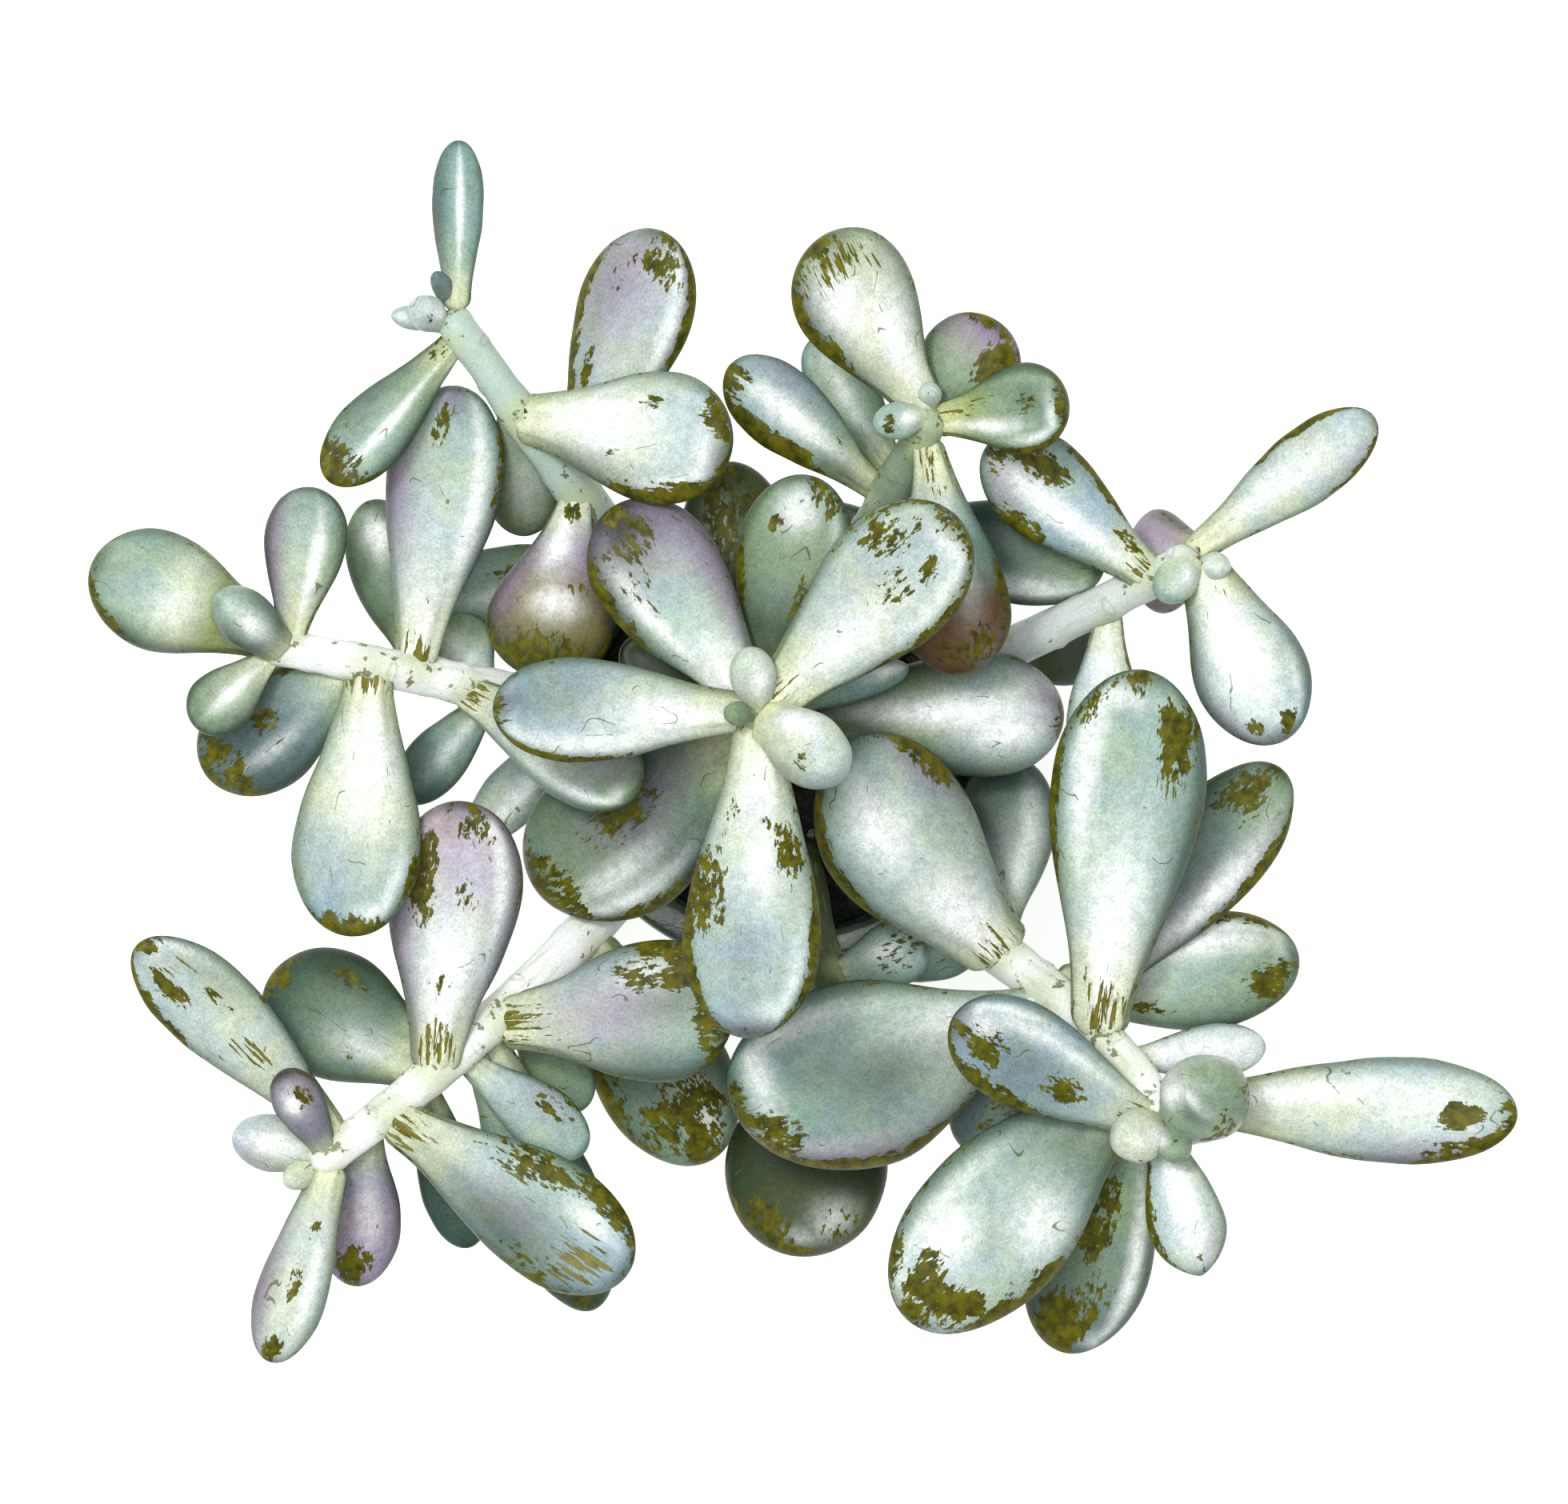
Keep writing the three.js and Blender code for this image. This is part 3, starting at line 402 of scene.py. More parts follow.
            ("shade", 0.5, -0.95, 0.4, 0.25, 0.6), ("streak", 0.1, 0, 0.12, 1, 0.9)]],
        ["egg", 0.5, 127, 21, 0, 20, 47, 26, 0.6, ["pale", "mint"], [
            ("powder_and_highlight", 0.74, 0.2, 0.22, 0.4, 1), ("powder_and_highlight", 0.25, 0, 0.22, 0.6, 1),
            ("shade", 0.55, 0.95, 0.45, 0.34, 0.4), ("shade", 0.5, -0.5, 0.3, 0.4, 0.2),
            ("blush", 0.8, -0.85, 0.18, 0.35, 1), ("wear", 0.8, -0.88, 0.14, 0.24, 0.95),
            ("wear", 0.68, 0.97, 0.32, 0.15, 0.9), ("streak", 0.1, 0, 0.14, 1, 0.7)]],
        ["paddle", 0.62, 197, 1, 0, 18, 55, 31, -0.3, ["pale", "mint", "teal"], [
            ("shade", 0.52, 0.05, 0.26, 0.5, 0.85), ("lip", 0.8, -0.4, 0.35, 0.9, 1),
            ("wear", 0.9, 0.6, 0.12, 0.4, 0.95), ("wear", 0.65, 0.97, 0.32, 0.14, 0.9),
            ("wear", 0.97, -0.2, 0.03, 0.6, 0.6), ("blush", 0.72, 0.88, 0.28, 0.25, 1),
            ("powder_and_highlight", 0.2, -0.3, 0.25, 0.6, 1)]],
        ["egg", 0.86, 228, -4, 0, 0, 54, 26, -0.2, ["teal", "mint", "pale"], [
            ("wear", 0.9, 0.1, 0.1, 0.8, 1.3), ("wear", 0.84, -0.3, 0.07, 0.3, 1.25),
            ("wear", 0.84, 0.5, 0.06, 0.3, 1.3), ("wear", 0.72, 0.9, 0.18, 0.2, 1.1),
            ("wear", 0.9, -0.85, 0.1, 0.2, 0.9), ("lip", 0.7, -0.5, 0.3, 0.5, 1),
            ("powder_and_highlight", 0.5, 0.5, 0.12, 0.5, 0.9), ("shade", 0.22, 0, 0.19, 1.5, 0.6),
            ("powder_and_highlight", 0.72, -0.4, 0.1, 0.4, 1), ("shade", 0.6, 0, 0.2, 0.35, 0.2)]],
        ["spoon", 0.86, 257, -24, 0, 0, 53.5, 21, -1, ["sage", "sage", "slate"], [
            ("wear", 0.5, 0, 0.22, 0.4, 1.1), ("wear", 0.82, 0.2, 0.12, 0.4, 0.9),
            ("wear", 0.9, -0.3, 0.13, 0.8, 1.1), ("lip", 0.65, 0.75, 0.35, 0.5, 1),
            ("shade", 0.4, -0.7, 0.4, 0.5, 0.8)]],
        ["spoon", 0.68, 49, -5, 0, 0, 51.5, 18, 0, ["pale", "slate", "sage"], [
            ("wear", 0.85, 0.3, 0.14, 0.6, 0.95), ("wear", 0.5, 0.5, 0.2, 0.25, 1),
            ("wear", 0.7, -0.9, 0.25, 0.2, 0.8), ("blush", 0.5, -0.7, 0.3, 0.35, 0.6),
            ("shade", 0.6, 0.8, 0.4, 0.4, 0.5), ("powder_and_highlight", 0.55, -0.6, 0.25, 0.25, 1)]],
        ["egg", 0.62, 8, -8, 0, 0, 41, 19.5, -0.4, ["cream", "mint", "sage"], [
            ("wear", 0.86, -0.4, 0.12, 0.5, 1.15), ("wear", 0.78, 0.9, 0.22, 0.2, 0.9),
            ("wear", 0.35, -0.6, 0.15, 0.2, 0.8), ("lip", 0.6, 0.5, 0.35, 0.6, 1),
            ("powder_and_highlight", 0.6, 0.5, 0.3, 0.25, 0.9), ("shade", 0.6, -0.9, 0.35, 0.35, 0.4)]],
        ["egg", 0.76, 216, -34, 0, 0, 36.5, 18, -1, ["slate"], [("wear", 0.6, 0, 0.25, 0.6, 0.8)]],
        ["spoon", 0.82, 4, -30, 0, 0, 28.5, 9, -0.9, ["bloomed"], [("powder_and_highlight", 0.5, 0.2, 0.5, 0.6, 1)]],
        ["egg", 0.45, 84, -14, 0, 0, 31.5, 17, 0, ["pale", "deep"], [
            ("powder_and_highlight", 0.5, -0.5, 0.3, 0.25, 0.7), ("shade", 0.6, 0.5, 0.4, 0.6, 0.8)]],
        ["bud", 1, 50, 66, 0, 0, 21.5, 14.5, 0, ["mint", "sage"], [
            ("wear", 0.6, -0.75, 0.4, 0.3, 0.85), ("powder_and_highlight", 0.65, 0.7, 0.2, 0.3, 1),
            ("shade", 0.75, 0, 0.15, 0.4, 0.5), ("powder_and_highlight", 0.85, 0.3, 0.06, 0.6, 0.7)]],
        ["bud", 1, 190, 52, 0, 0, 12, 9, 0.3, ["cream"], [
            ("powder_and_highlight", 0.6, 0.2, 0.3, 0.5, 1), ("wear", 0.75, 0.8, 0.15, 0.3, 0.7)]],
        ["bud", 1, 293, 50, 0, 0, 9, 6, 0.3, ["sage"], [
            ("wear", 0.7, 0.2, 0.3, 0.5, 0.7), ("powder_and_highlight", 0.6, -0.5, 0.2, 0.3, 0.8)]],
    ],
    "near_left_shoot": [
        ["spoon", 0.95, 134.5, 14, 0, -10, 47, 15, 0.3, ["cream", "pale"], [
            ("wear", 0.82, 0.3, 0.14, 0.24, 1), ("wear", 0.66, -0.3, 0.1, 0.2, 0.85),
            ("streak", 0.45, 0.1, 0.14, 0.5, 1), ("wear", 0.85, 0.95, 0.24, 0.22, 1),
            ("streak", 0.85, -0.2, 0.1, 0.5, 0.9), ("wear", 0.97, -0.4, 0.04, 0.6, 0.8),
            ("shade", 0.75, -0.5, 0.2, 0.4, 0.3), ("lip", 0.9, -0.5, 0.15, 0.6, 0.8)]],
        ["finger", 0.98, 253, 8, 0, 0, 34, 11.7, 0, ["cream", "pale"], [
            ("wear", 0.35, 0.2, 0.1, 0.3, 0.85), ("wear", 0.6, 0, 0.12, 0.25, 0.85),
            ("wear", 0.93, -0.2, 0.07, 0.7, 1), ("blush", 0.7, -0.8, 0.3, 0.35, 0.9),
            ("powder_and_highlight", 0.6, 0.5, 0.3, 0.2, 0.9)]],
        ["egg", 0.91, 266, -22, 0, 0, 29.5, 13.8, -1, ["slate", "mauve", "mauve"], [
            ("wear", 0.85, -0.1, 0.16, 0.65, 1.1), ("blush", 0.6, 0.8, 0.4, 0.4, 0.4),
            ("streak", 0.6, -0.2, 0.2, 0.5, 0.6), ("powder_and_highlight", 0.5, 0.3, 0.25, 0.3, 0.4)]],
        ["spoon", 0.78, 83.5, 5, 0, 0, 45, 22, 0.7, ["cream", "pale", "lilac"], [
            ("wear", 0.72, 0.5, 0.24, 0.28, 1.15), ("wear", 0.66, -0.25, 0.1, 0.25, 0.8),
            ("wear", 0.92, -0.3, 0.08, 0.5, 0.85), ("wear", 0.33, 0.1, 0.05, 0.4, 0.7),
            ("blush", 0.5, 0.92, 0.4, 0.42, 1), ("blush", 0.6, -0.95, 0.4, 0.32, 0.9),
            ("blush", 1, 0, 0.08, 1, 0.8), ("lip", 0.75, -0.6, 0.3, 0.5, 1),
            ("streak", 0.12, 0, 0.13, 1, 0.9), ("powder_and_highlight", 0.35, 0, 0.22, 0.5, 0.9)]],
        ["egg", 0.78, 153, -14, 0, 0, 32, 21.5, -0.4, ["sage", "deep"], [
            ("wear", 0.92, -0.3, 0.08, 0.8, 0.9), ("wear", 0.45, 0.5, 0.08, 0.2, 0.9),
            ("wear", 0.6, -0.6, 0.12, 0.2, 0.8), ("powder_and_highlight", 0.35, 0.3, 0.2, 0.3, 0.5),
            ("shade", 0.6, -0.7, 0.3, 0.4, 0.6)]],
        ["spoon", 0.87, -33, 8, 0, 0, 47.5, 20, 0.5, ["cream", "pale", "mint", "blue"], [
            ("wear", 0.5, 0.65, 0.22, 0.28, 1.2), ("wear", 0.85, 0.8, 0.17, 0.22, 1.1),
            ("streak", 0.5, 0.35, 0.16, 0.4, 0.8), ("streak", 0.84, -0.35, 0.14, 0.65, 1.2),
            ("wear", 0.7, -0.7, 0.2, 0.3, 0.65), ("shade", 0.55, -0.5, 0.35, 0.6, 0.8),
            ("shade", 0.6, 0, 0.2, 0.4, 0.25), ("powder_and_highlight", 0.8, 0.4, 0.1, 0.2, 1),
            ("blush", 0.55, -0.2, 0.12, 0.3, 0.5), ("streak", 0.12, 0, 0.14, 1, 0.9)]],
        ["spoon", 0.66, 4.5, 10, 0, 0, 39.5, 23.5, 0.3, ["cream", "pale", "mint", "mint"], [
            ("blush", 0.5, 0.1, 0.28, 0.7, 0.7), ("wear", 0.72, 0.6, 0.22, 0.4, 1.1),
            ("wear", 0.92, -0.1, 0.1, 0.9, 1.1), ("streak", 0.12, 0, 0.14, 1, 1),
            ("powder_and_highlight", 0.65, 0.55, 0.12, 0.2, 0.7), ("shade", 0.97, 0, 0.08, 1.5, 0.8),
            ("shade", 0.65, -0.9, 0.3, 0.35, 0.6), ("shade", 0.75, 0.1, 0.15, 0.4, 0.3)]],
        ["spoon", 0.735, -38, -8, 0, 0, 26, 11, -0.3, ["pale", "mint"], [
            ("wear", 0.7, 0.5, 0.2, 0.4, 0.9), ("blush", 0.6, 0.5, 0.2, 0.5, 0.4)]],
        ["spoon", 0.8, 284, -24, 0, 0, 32.5, 11, -0.9, ["deep"], []],
        ["egg", 0.69, 291.5, -20, 0, 0, 54, 17, -0.8, ["mint", "deep"], [
            ("wear", 0.88, 0, 0.12, 0.9, 1.1)]],
        ["egg", 0.47, 301, -14, 0, 0, 43.5, 22.5, -0.3, ["deep", "sage"], [
            ("wear", 0.82, 0, 0.24, 0.9, 1.15), ("wear", 0.5, -0.8, 0.3, 0.25, 0.9),
            ("powder_and_highlight", 0.8, 0.3, 0.15, 0.3, 0.7)]],
        ["spoon", 0.62, 302, -28, 0, 0, 24, 11, -0.6, ["sage"], []],
        ["finger", 0.97, 116, 34, 0, 0, 18, 8.5, 0.5, ["slate", "mauve"], [
            ("powder_and_highlight", 0.75, 0.2, 0.15, 0.4, 1), ("wear", 0.75, -0.3, 0.2, 0.5, 0.75),
            ("blush", 0.3, 0, 0.2, 1, 0.3)]],
        ["bud", 0.98, 168, 8, 0, 0, 15.5, 9.5, -0.4, ["cream", "pale"], [
            ("blush", 0.8, 0.4, 0.3, 0.8, 0.5), ("powder_and_highlight", 0.6, 0, 0.3, 0.4, 0.8),
            ("shade", 0.5, 0.95, 0.5, 0.3, 0.4)]],
        ["bud", 0.99, 215, 40, 0, 0, 8.5, 5, 0, ["cream"], [("streak", 0.4, 0, 0.3, 0.8, 0.6)]],
    ],
    "near_shoot": [
        ["egg", 1, 261, -6, 0, 0, 38, 27, 0, ["deep", "moss", "moss"], [
            ("wear", 0.86, -0.5, 0.13, 0.5, 0.95), ("wear", 0.95, 0.1, 0.05, 0.9, 0.85),
            ("wear", 0.82, 0.6, 0.12, 0.36, 0.72), ("powder_and_highlight", 0.8, 0.48, 0.1, 0.3, 0.7),
            ("powder_and_highlight", 0.9, 0.1, 0.05, 0.35, 0.55), ("shade", 0.4, 0, 0.36, 1.5, 1)]],
        ["spoon", 0.75, 18, 0, 0, 0, 17, 11, 0.3, ["mint"], [
            ("wear", 0.7, 0, 0.3, 0.8, 0.8), ("powder_and_highlight", 0.6, 0.2, 0.2, 0.3, 0.8)]],
        ["spoon", 0.68, 4, -14, 0, 0, 26, 9, -0.3, ["pale", "teal"], [
            ("powder_and_highlight", 0.4, 0.1, 0.3, 0.4, 0.8)]],
        ["bud", 1, 325, 10, 0, 0, 8, 5, 0, ["mint"], []],
    ],
}

# Camera and light
CAMERA_PLACE = (-0.65, -3.25, 1415)
LENS = 183.7
SENSOR = 36
WORLD_LIGHT = 0.6
FLOOR_GLOW = 0.55
LIGHT_AIM = (0, 0, 100)
SOFT_LIGHT = {"power": 16.5, "size": 850, "place": (-120, 140, 1600)}
WINDOW_LIGHT = {"power": 10, "size": 240, "place": (-380, 340, 1380)}
FLOOR_SIZE = 24000


def deselect():
    bpy.ops.object.select_all(action="DESELECT")


def coordinates(mesh):
    """A mesh's points as an array with a row for each."""
    points = np.zeros(len(mesh.vertices) * 3, np.float32)
    mesh.vertices.foreach_get("co", points)
    return points.reshape(-1, 3).astype(float)


def set_coordinates(mesh, points):
    mesh.vertices.foreach_set("co", np.asarray(points, np.float32).ravel())
    mesh.update()


def normals(mesh):
    """Which way a mesh faces at each of its points."""
    values = np.zeros(len(mesh.vertices) * 3, np.float32)
    mesh.vertices.foreach_get("normal", values)
    return values.reshape(-1, 3)


def set_attribute(mesh, name, *columns):
    """Keeps a number or a vector at each point of a mesh, for its material to read."""
    values = np.asarray(columns[0] if len(columns) == 1 else np.stack(columns, 1), np.float32)
    kind, field = ("FLOAT", "value") if values.ndim == 1 else ("FLOAT_VECTOR", "vector")
    layer = mesh.attributes.new(name, kind, "POINT")
    layer.data.foreach_set(field, values.ravel())


def waves(points, size, seed):
    """Smooth noise at each point, for lumps of about this size."""
    shift = Vector((seed * 17.3, seed * 5.9, seed * 11.1))
    return np.array([noise.noise(Vector(p) / size + shift) for p in points])


def smooth(low, high, x):
    t = np.clip((x - low) / (high - low), 0, 1)
    return t * t * (3 - 2 * t)


def linear(hex_colour):
    """An sRGB hex colour as linear red, green, blue and alpha."""
    channels = [int(hex_colour[i : i + 2], 16) / 255 for i in (1, 3, 5)]
    return [c / 12.92 if c <= 0.04045 else ((c + 0.055) / 1.055) ** 2.4 for c in channels] + [1]


def copy_of(master, name):
    """Another piece with a mesh of its own."""
    piece = bpy.data.objects.new(name, master.data.copy())
    piece.data.name = name
    bpy.context.scene.collection.objects.link(piece)
    return piece


def finish_piece(piece, material, node):
    """Gives a piece its finish, and puts it in the place of its node."""
    piece.data.materials.clear()
    piece.data.materials.append(material)
    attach(piece, "root")
    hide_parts(node)


# Leaves

def outline(form, u):
    """Share of the full width at u, from the root at 0 to the tip at 1."""
    tip = np.clip((u - form["belly"]) / (1 - form["belly"]), 0, 1)
    flare = (1 - np.cos(math.pi * u / form["belly"])) / 2
    root = np.clip((ROOT_ROUND - u) / ROOT_ROUND, 0, 1)
    stalk = (form["neck"] + (1 - form["neck"]) * flare) * np.sqrt(1 - root * root)
    return np.where(u > form["belly"], (1 - tip * tip) ** form["tip"], stalk)


def thickness(form, u):
    """Share of the full thickness at u: the root stays thicker than it is wide."""
    width = np.sqrt(outline(form, u))
    return width * np.minimum(1, width + ROOT_PLUMP)


def stem_radius(along):
    return STEM_FOOT_RADIUS + (STEM_TIP_RADIUS - STEM_FOOT_RADIUS) * along


def stem_point(path, t):
    a, b, c, d = (np.array(point, float) for point in path)
    return a * (1 - t) ** 3 + 3 * b * t * (1 - t) ** 2 + 3 * c * t * t * (1 - t) + d * t**3


def stem_tangent(path, t):
    a, b, c, d = (np.array(point, float) for point in path)
    slope = 3 * (b - a) * (1 - t) ** 2 + 6 * (c - b) * t * (1 - t) + 3 * (d - c) * t * t
    return slope / np.linalg.norm(slope)


def leaf_frame(path, row):
    """Where a leaf starts and which way it points: root, axis, side and normal."""
    along, azimuth, pitch, roll = row[1:5]
    lift = row[8]
    heading = math.radians(azimuth)
    rise = math.radians(pitch)
    turn = math.radians(roll)
    flat = np.array([math.cos(heading), math.sin(heading), 0])
    axis = flat * math.cos(rise) + np.array([0, 0, math.sin(rise)])
    level = np.array([-flat[1], flat[0], 0])
    side = level * math.cos(turn) + np.cross(axis, level) * math.sin(turn)
    normal = np.cross(axis, side)
    tangent = stem_tangent(path, along)
    seat = flat * (1 - abs(lift)) + np.array([0, 0, lift])
    seat = seat - tangent * seat.dot(tangent)
    seat = seat / np.linalg.norm(seat)
    radius = stem_radius(along)
    root = stem_point(path, along) + seat * ROOT_SEAT * radius - axis * ROOT_BACK * radius
    return root, axis, side, normal


def leaf_ball(name, segments, rings):
    """A closed ball with one pole at the root and one at the tip, to be drawn out into a leaf."""
    deselect()
    bpy.ops.mesh.primitive_uv_sphere_add(segments=segments, ring_count=rings, radius=1)
    ball = bpy.context.object
    ball.name = name
    bpy.ops.object.shade_smooth()
    return ball


def mark_layers(marks, u, across, edge):
    """How strong each kind of mark is at every point of a leaf."""
    layers = {kind: 0 * u for kind in ("wear", "streak", "blush", "powder_and_highlight", "lip", "shade")}
    for kind, place, offset, reach, spread, strength in marks:
        gap = ((u - place) / reach) ** 2 + ((across - offset) / spread) ** 2
        spot = strength * np.exp(-gap * gap if kind == "wear" else -gap)
        layers[kind] = np.maximum(layers[kind], spot)
    # A lip mark is a painted highlight: a white band just inside the rim, laid into the white powder
    # layer.
    rim = np.exp(-(((edge - LIP_PLACE) / LIP_WIDTH) ** 2))
    layers["powder_and_highlight"] = np.maximum(layers["powder_and_highlight"], layers["lip"] * rim)
    return layers


def ground_colour(names, u):
    """The skin's ground colour at every point, from the root's colour to the tip's."""
    stops = np.array([linear(TINTS[name])[:3] for name in names])
    places = np.linspace(*TINT_SPAN, len(names)) if len(names) > 1 else [0.5]
    return [np.interp(u, places, stops[:, channel]) for channel in range(3)]


def make_leaf(master, name, path, row, number):
    """One leaf: the ball is drawn out along the leaf's axis, flatter above than below, with its
    tip curled, its upper face a little dished, ribs at the root and a gently uneven skin."""
    form = FORMS[row[0]]
    sway, length, width = row[5:8]
    root, axis, side, normal = leaf_frame(path, row)
    sag = length * math.radians(form["curl"]) / 8
    bow = length * math.radians(sway) / 8
    piece = copy_of(master, name)
    ball = coordinates(piece.data)
    u = (1 + ball[:, 2]) / 2
    reach = np.hypot(ball[:, 0], ball[:, 1])
    open_ring = reach > 1e-6
    across = np.where(open_ring, ball[:, 0] / np.maximum(reach, 1e-6), 0)
    facing = np.where(open_ring, ball[:, 1] / np.maximum(reach, 1e-6), 0)
    half = np.where(open_ring, width / 2 * outline(form, u), 0)
    deep = np.where(open_ring, width * form["depth"] * thickness(form, u), 0)
    share = np.where(facing > 0, UPPER_SHARE, 1 - UPPER_SHARE)
    hollow = np.where(facing > 0, np.exp(-((across / DISH_WIDTH) ** 2)), 0)
    hollow = hollow * smooth(0.3, 0.75, u) * smooth(1.0, 0.86, u)
    sideways = half * across
    upward = deep * share * facing - width * form["dish"] * hollow
    ribs = RIB_RISE * width * smooth(0.42, 0.12, u) * smooth(0.0, 0.06, u)
    ribs = ribs * np.cos(RIBS * np.arctan2(facing, across) + number)
    local = np.stack([u * length, sideways, upward], 1)
    dents = DENT_RISE * width * waves(local, DENT_SIZE * width, number) * smooth(0.0, 0.12, u)
    swell = np.where(open_ring, ribs + dents, 0)
    sideways = sideways + swell * across
    upward = upward + swell * facing
    points = (
        root
        + np.outer(u * length, axis)
        + np.outer(4 * bow * u * (1 - u) + sideways, side)
        + np.outer(upward - 4 * sag * u * (1 - u), normal)
    )
    mesh = piece.data
    set_coordinates(mesh, points * MM)
    # edge runs from the leaf's middle to its rim and tip, for the wear and painted shade at the margins;
    # lean is how far each point faces the leaf's upper side, for the painted shade on its flanks and
    # underside.
    edge = 1 - np.minimum(1 - np.abs(across), (1 - u) * length * TIP_EDGE / width)
    lean = normals(mesh) @ normal
    layers = mark_layers(row[10], u, across, edge)
    # Buds get softer painted shade at their edges and on their turned-away faces.
    if row[0] == "bud":
        edge = BUD_EDGE * edge
        lean = 1 - BUD_LEAN + BUD_LEAN * lean
    set_attribute(mesh, "leaf_place", *(local + number * PATTERN_SHIFT).T)
    set_attribute(mesh, "leaf_span", u, edge, lean)
    set_attribute(mesh, "leaf_tint", *ground_colour(row[9], u))
    set_attribute(mesh, "leaf_marks", layers["wear"], layers["blush"], layers["powder_and_highlight"])
    set_attribute(mesh, "leaf_shades", layers["shade"], layers["streak"], 0 * u)
    return piece


# Stems

def stem_tube():
    """A closed straight tube, drawn up ring by ring from a circle: z counts the rings."""
    deselect()
    bpy.ops.mesh.primitive_circle_add(vertices=STEM_SIDES, radius=1, fill_type="NGON")
    tube = bpy.context.object
    tube.name = "stem_tube"
    bpy.ops.object.mode_set(mode="EDIT")
    bpy.ops.mesh.select_all(action="SELECT")
    for _ in range(STEM_STEPS):
        bpy.ops.mesh.extrude_region_move(TRANSFORM_OT_translate={"value": (0, 0, 1)})
    bpy.ops.mesh.select_all(action="SELECT")
    bpy.ops.mesh.normals_make_consistent(inside=False)
    bpy.ops.object.mode_set(mode="OBJECT")
    bpy.ops.object.shade_smooth()
    return tube


def make_stem(master, name, skin, path, leaves):
    """A tapering stem along its curve, rounded at the growing tip, with raised leaf scars wound
    round it and a swelling under each leaf."""
    piece = copy_of(master, name)
    tube = coordinates(piece.data)
    ring = np.rint(tube[:, 2]).astype(int)
    angle = np.arctan2(tube[:, 1], tube[:, 0])
    stations = [k / STEM_STEPS for k in range(STEM_STEPS + 1)]
    centres = np.array([stem_point(path, t) for t in stations])
    tangents = np.array([stem_tangent(path, t) for t in stations])
    steps = np.linalg.norm(np.diff(centres, axis=0), axis=1)
    travelled = np.concatenate([[0], np.cumsum(steps)])
    length = travelled[-1]
    distance = travelled[ring]
    across = np.cross([0, 1, 0], tangents)
    across = across / np.linalg.norm(across, axis=1)[:, None]
    above = np.cross(tangents, across)
    along = ring / STEM_STEPS
    radius = stem_radius(along)
    out = across[ring] * np.cos(angle)[:, None] + above[ring] * np.sin(angle)[:, None]
    to_tip = np.clip((distance - (length - STEM_TIP_RADIUS)) / STEM_TIP_RADIUS, 0, 0.998)
    scar = np.zeros(len(ring))
    for k in range(int(length / SCAR_SPACING)):
        turn = (k * SCAR_TURN) % (2 * math.pi)
        gap = np.abs((angle - turn + math.pi) % (2 * math.pi) - math.pi) * radius
        rise = distance - (k + 0.5) * SCAR_SPACING
        scar = np.maximum(scar, np.exp(-((gap / SCAR_WIDTH[0]) ** 2) - (rise / SCAR_WIDTH[1]) ** 2))
    surface = centres[ring] + out * radius[:, None]
    joint = np.zeros(len(ring))
    for row in leaves:
        root, axis, _, _ = leaf_frame(path, row)
        seat = root + axis * ROOT_BACK * stem_radius(row[1])
        gap = np.linalg.norm(surface - seat, axis=1) / (JOINT_REACH + JOINT_SHARE * row[7])
        joint = np.maximum(joint, np.exp(-(gap**2)))
    dents = STEM_DENT_RISE * waves(surface, STEM_DENT_SIZE, 3)
    swell = (SCAR_RISE * scar + JOINT_RISE * joint + dents) * smooth(1, 0.5, to_tip)
    grown = (radius + swell) * np.sqrt(1 - to_tip**2)
    mesh = piece.data
    set_coordinates(mesh, (centres[ring] + out * grown[:, None]) * MM)
    # How far the skin faces up, kept with the place, sets the painted shade underneath; along, kept with
    # the marks, sets the painted shade towards the foot.
    set_attribute(mesh, "stem_place", distance, radius * angle, out[:, 2])
    set_attribute(mesh, "stem_marks", scar, joint, along)
    set_attribute(mesh, "stem_tint", *(np.full(len(ring), c) for c in linear(TINTS[skin])[:3]))
    return piece


# Pot and soil

def cone_radius(height):
    """How wide the pot's tapering wall is on the outside, below the rim band."""
    widening = POT_RIM_RADIUS - RIM_BAND_STEP - POT_FOOT_RADIUS
    return POT_FOOT_RADIUS + widening * height / POT_HEIGHT


def soil_radius(height):
    return cone_radius(height) - POT_WALL - SEAT_GAP


def rounded(corners, reach, steps=5):
    """A profile with its inner corners rounded off by this much."""
    profile = [np.array(corners[0], float)]
    for before, corner, after in zip(corners, corners[1:], corners[2:]):
        before, corner, after = (np.array(p, float) for p in (before, corner, after))
        near = min(reach, 0.45 * np.linalg.norm(before - corner))
        far = min(reach, 0.45 * np.linalg.norm(after - corner))
        start = corner + (before - corner) / np.linalg.norm(before - corner) * near
        end = corner + (after - corner) / np.linalg.norm(after - corner) * far
        for k in range(steps + 1):
            t = k / steps
            profile.append(start * (1 - t) ** 2 + 2 * corner * t * (1 - t) + end * t * t)
    profile.append(np.array(corners[-1], float))
    return profile


def turned(name, profile):
    """A piece turned round the upright axis: a circle is extruded and scaled up the profile."""
    deselect()
    radius, height = profile[0]
    bpy.ops.mesh.primitive_circle_add(
        vertices=POT_SIDES, radius=radius * MM, fill_type="NGON", location=(0, 0, height * MM))
    piece = bpy.context.object
    piece.name = name
    bpy.ops.object.mode_set(mode="EDIT")
    bpy.ops.mesh.select_all(action="SELECT")
    for below, point in zip(profile, profile[1:]):
        grow = point[0] / below[0]
        rise = (point[1] - below[1]) * MM
        bpy.ops.mesh.extrude_region_move(TRANSFORM_OT_translate={"value": (0, 0, rise)})
        bpy.ops.transform.resize(value=(grow, grow, 1), center_override=(0, 0, 0))
    bpy.ops.mesh.select_all(action="SELECT")
    bpy.ops.mesh.normals_make_consistent(inside=False)
    bpy.ops.object.mode_set(mode="OBJECT")
    bpy.ops.object.transform_apply(location=True, rotation=True, scale=True)
    return piece


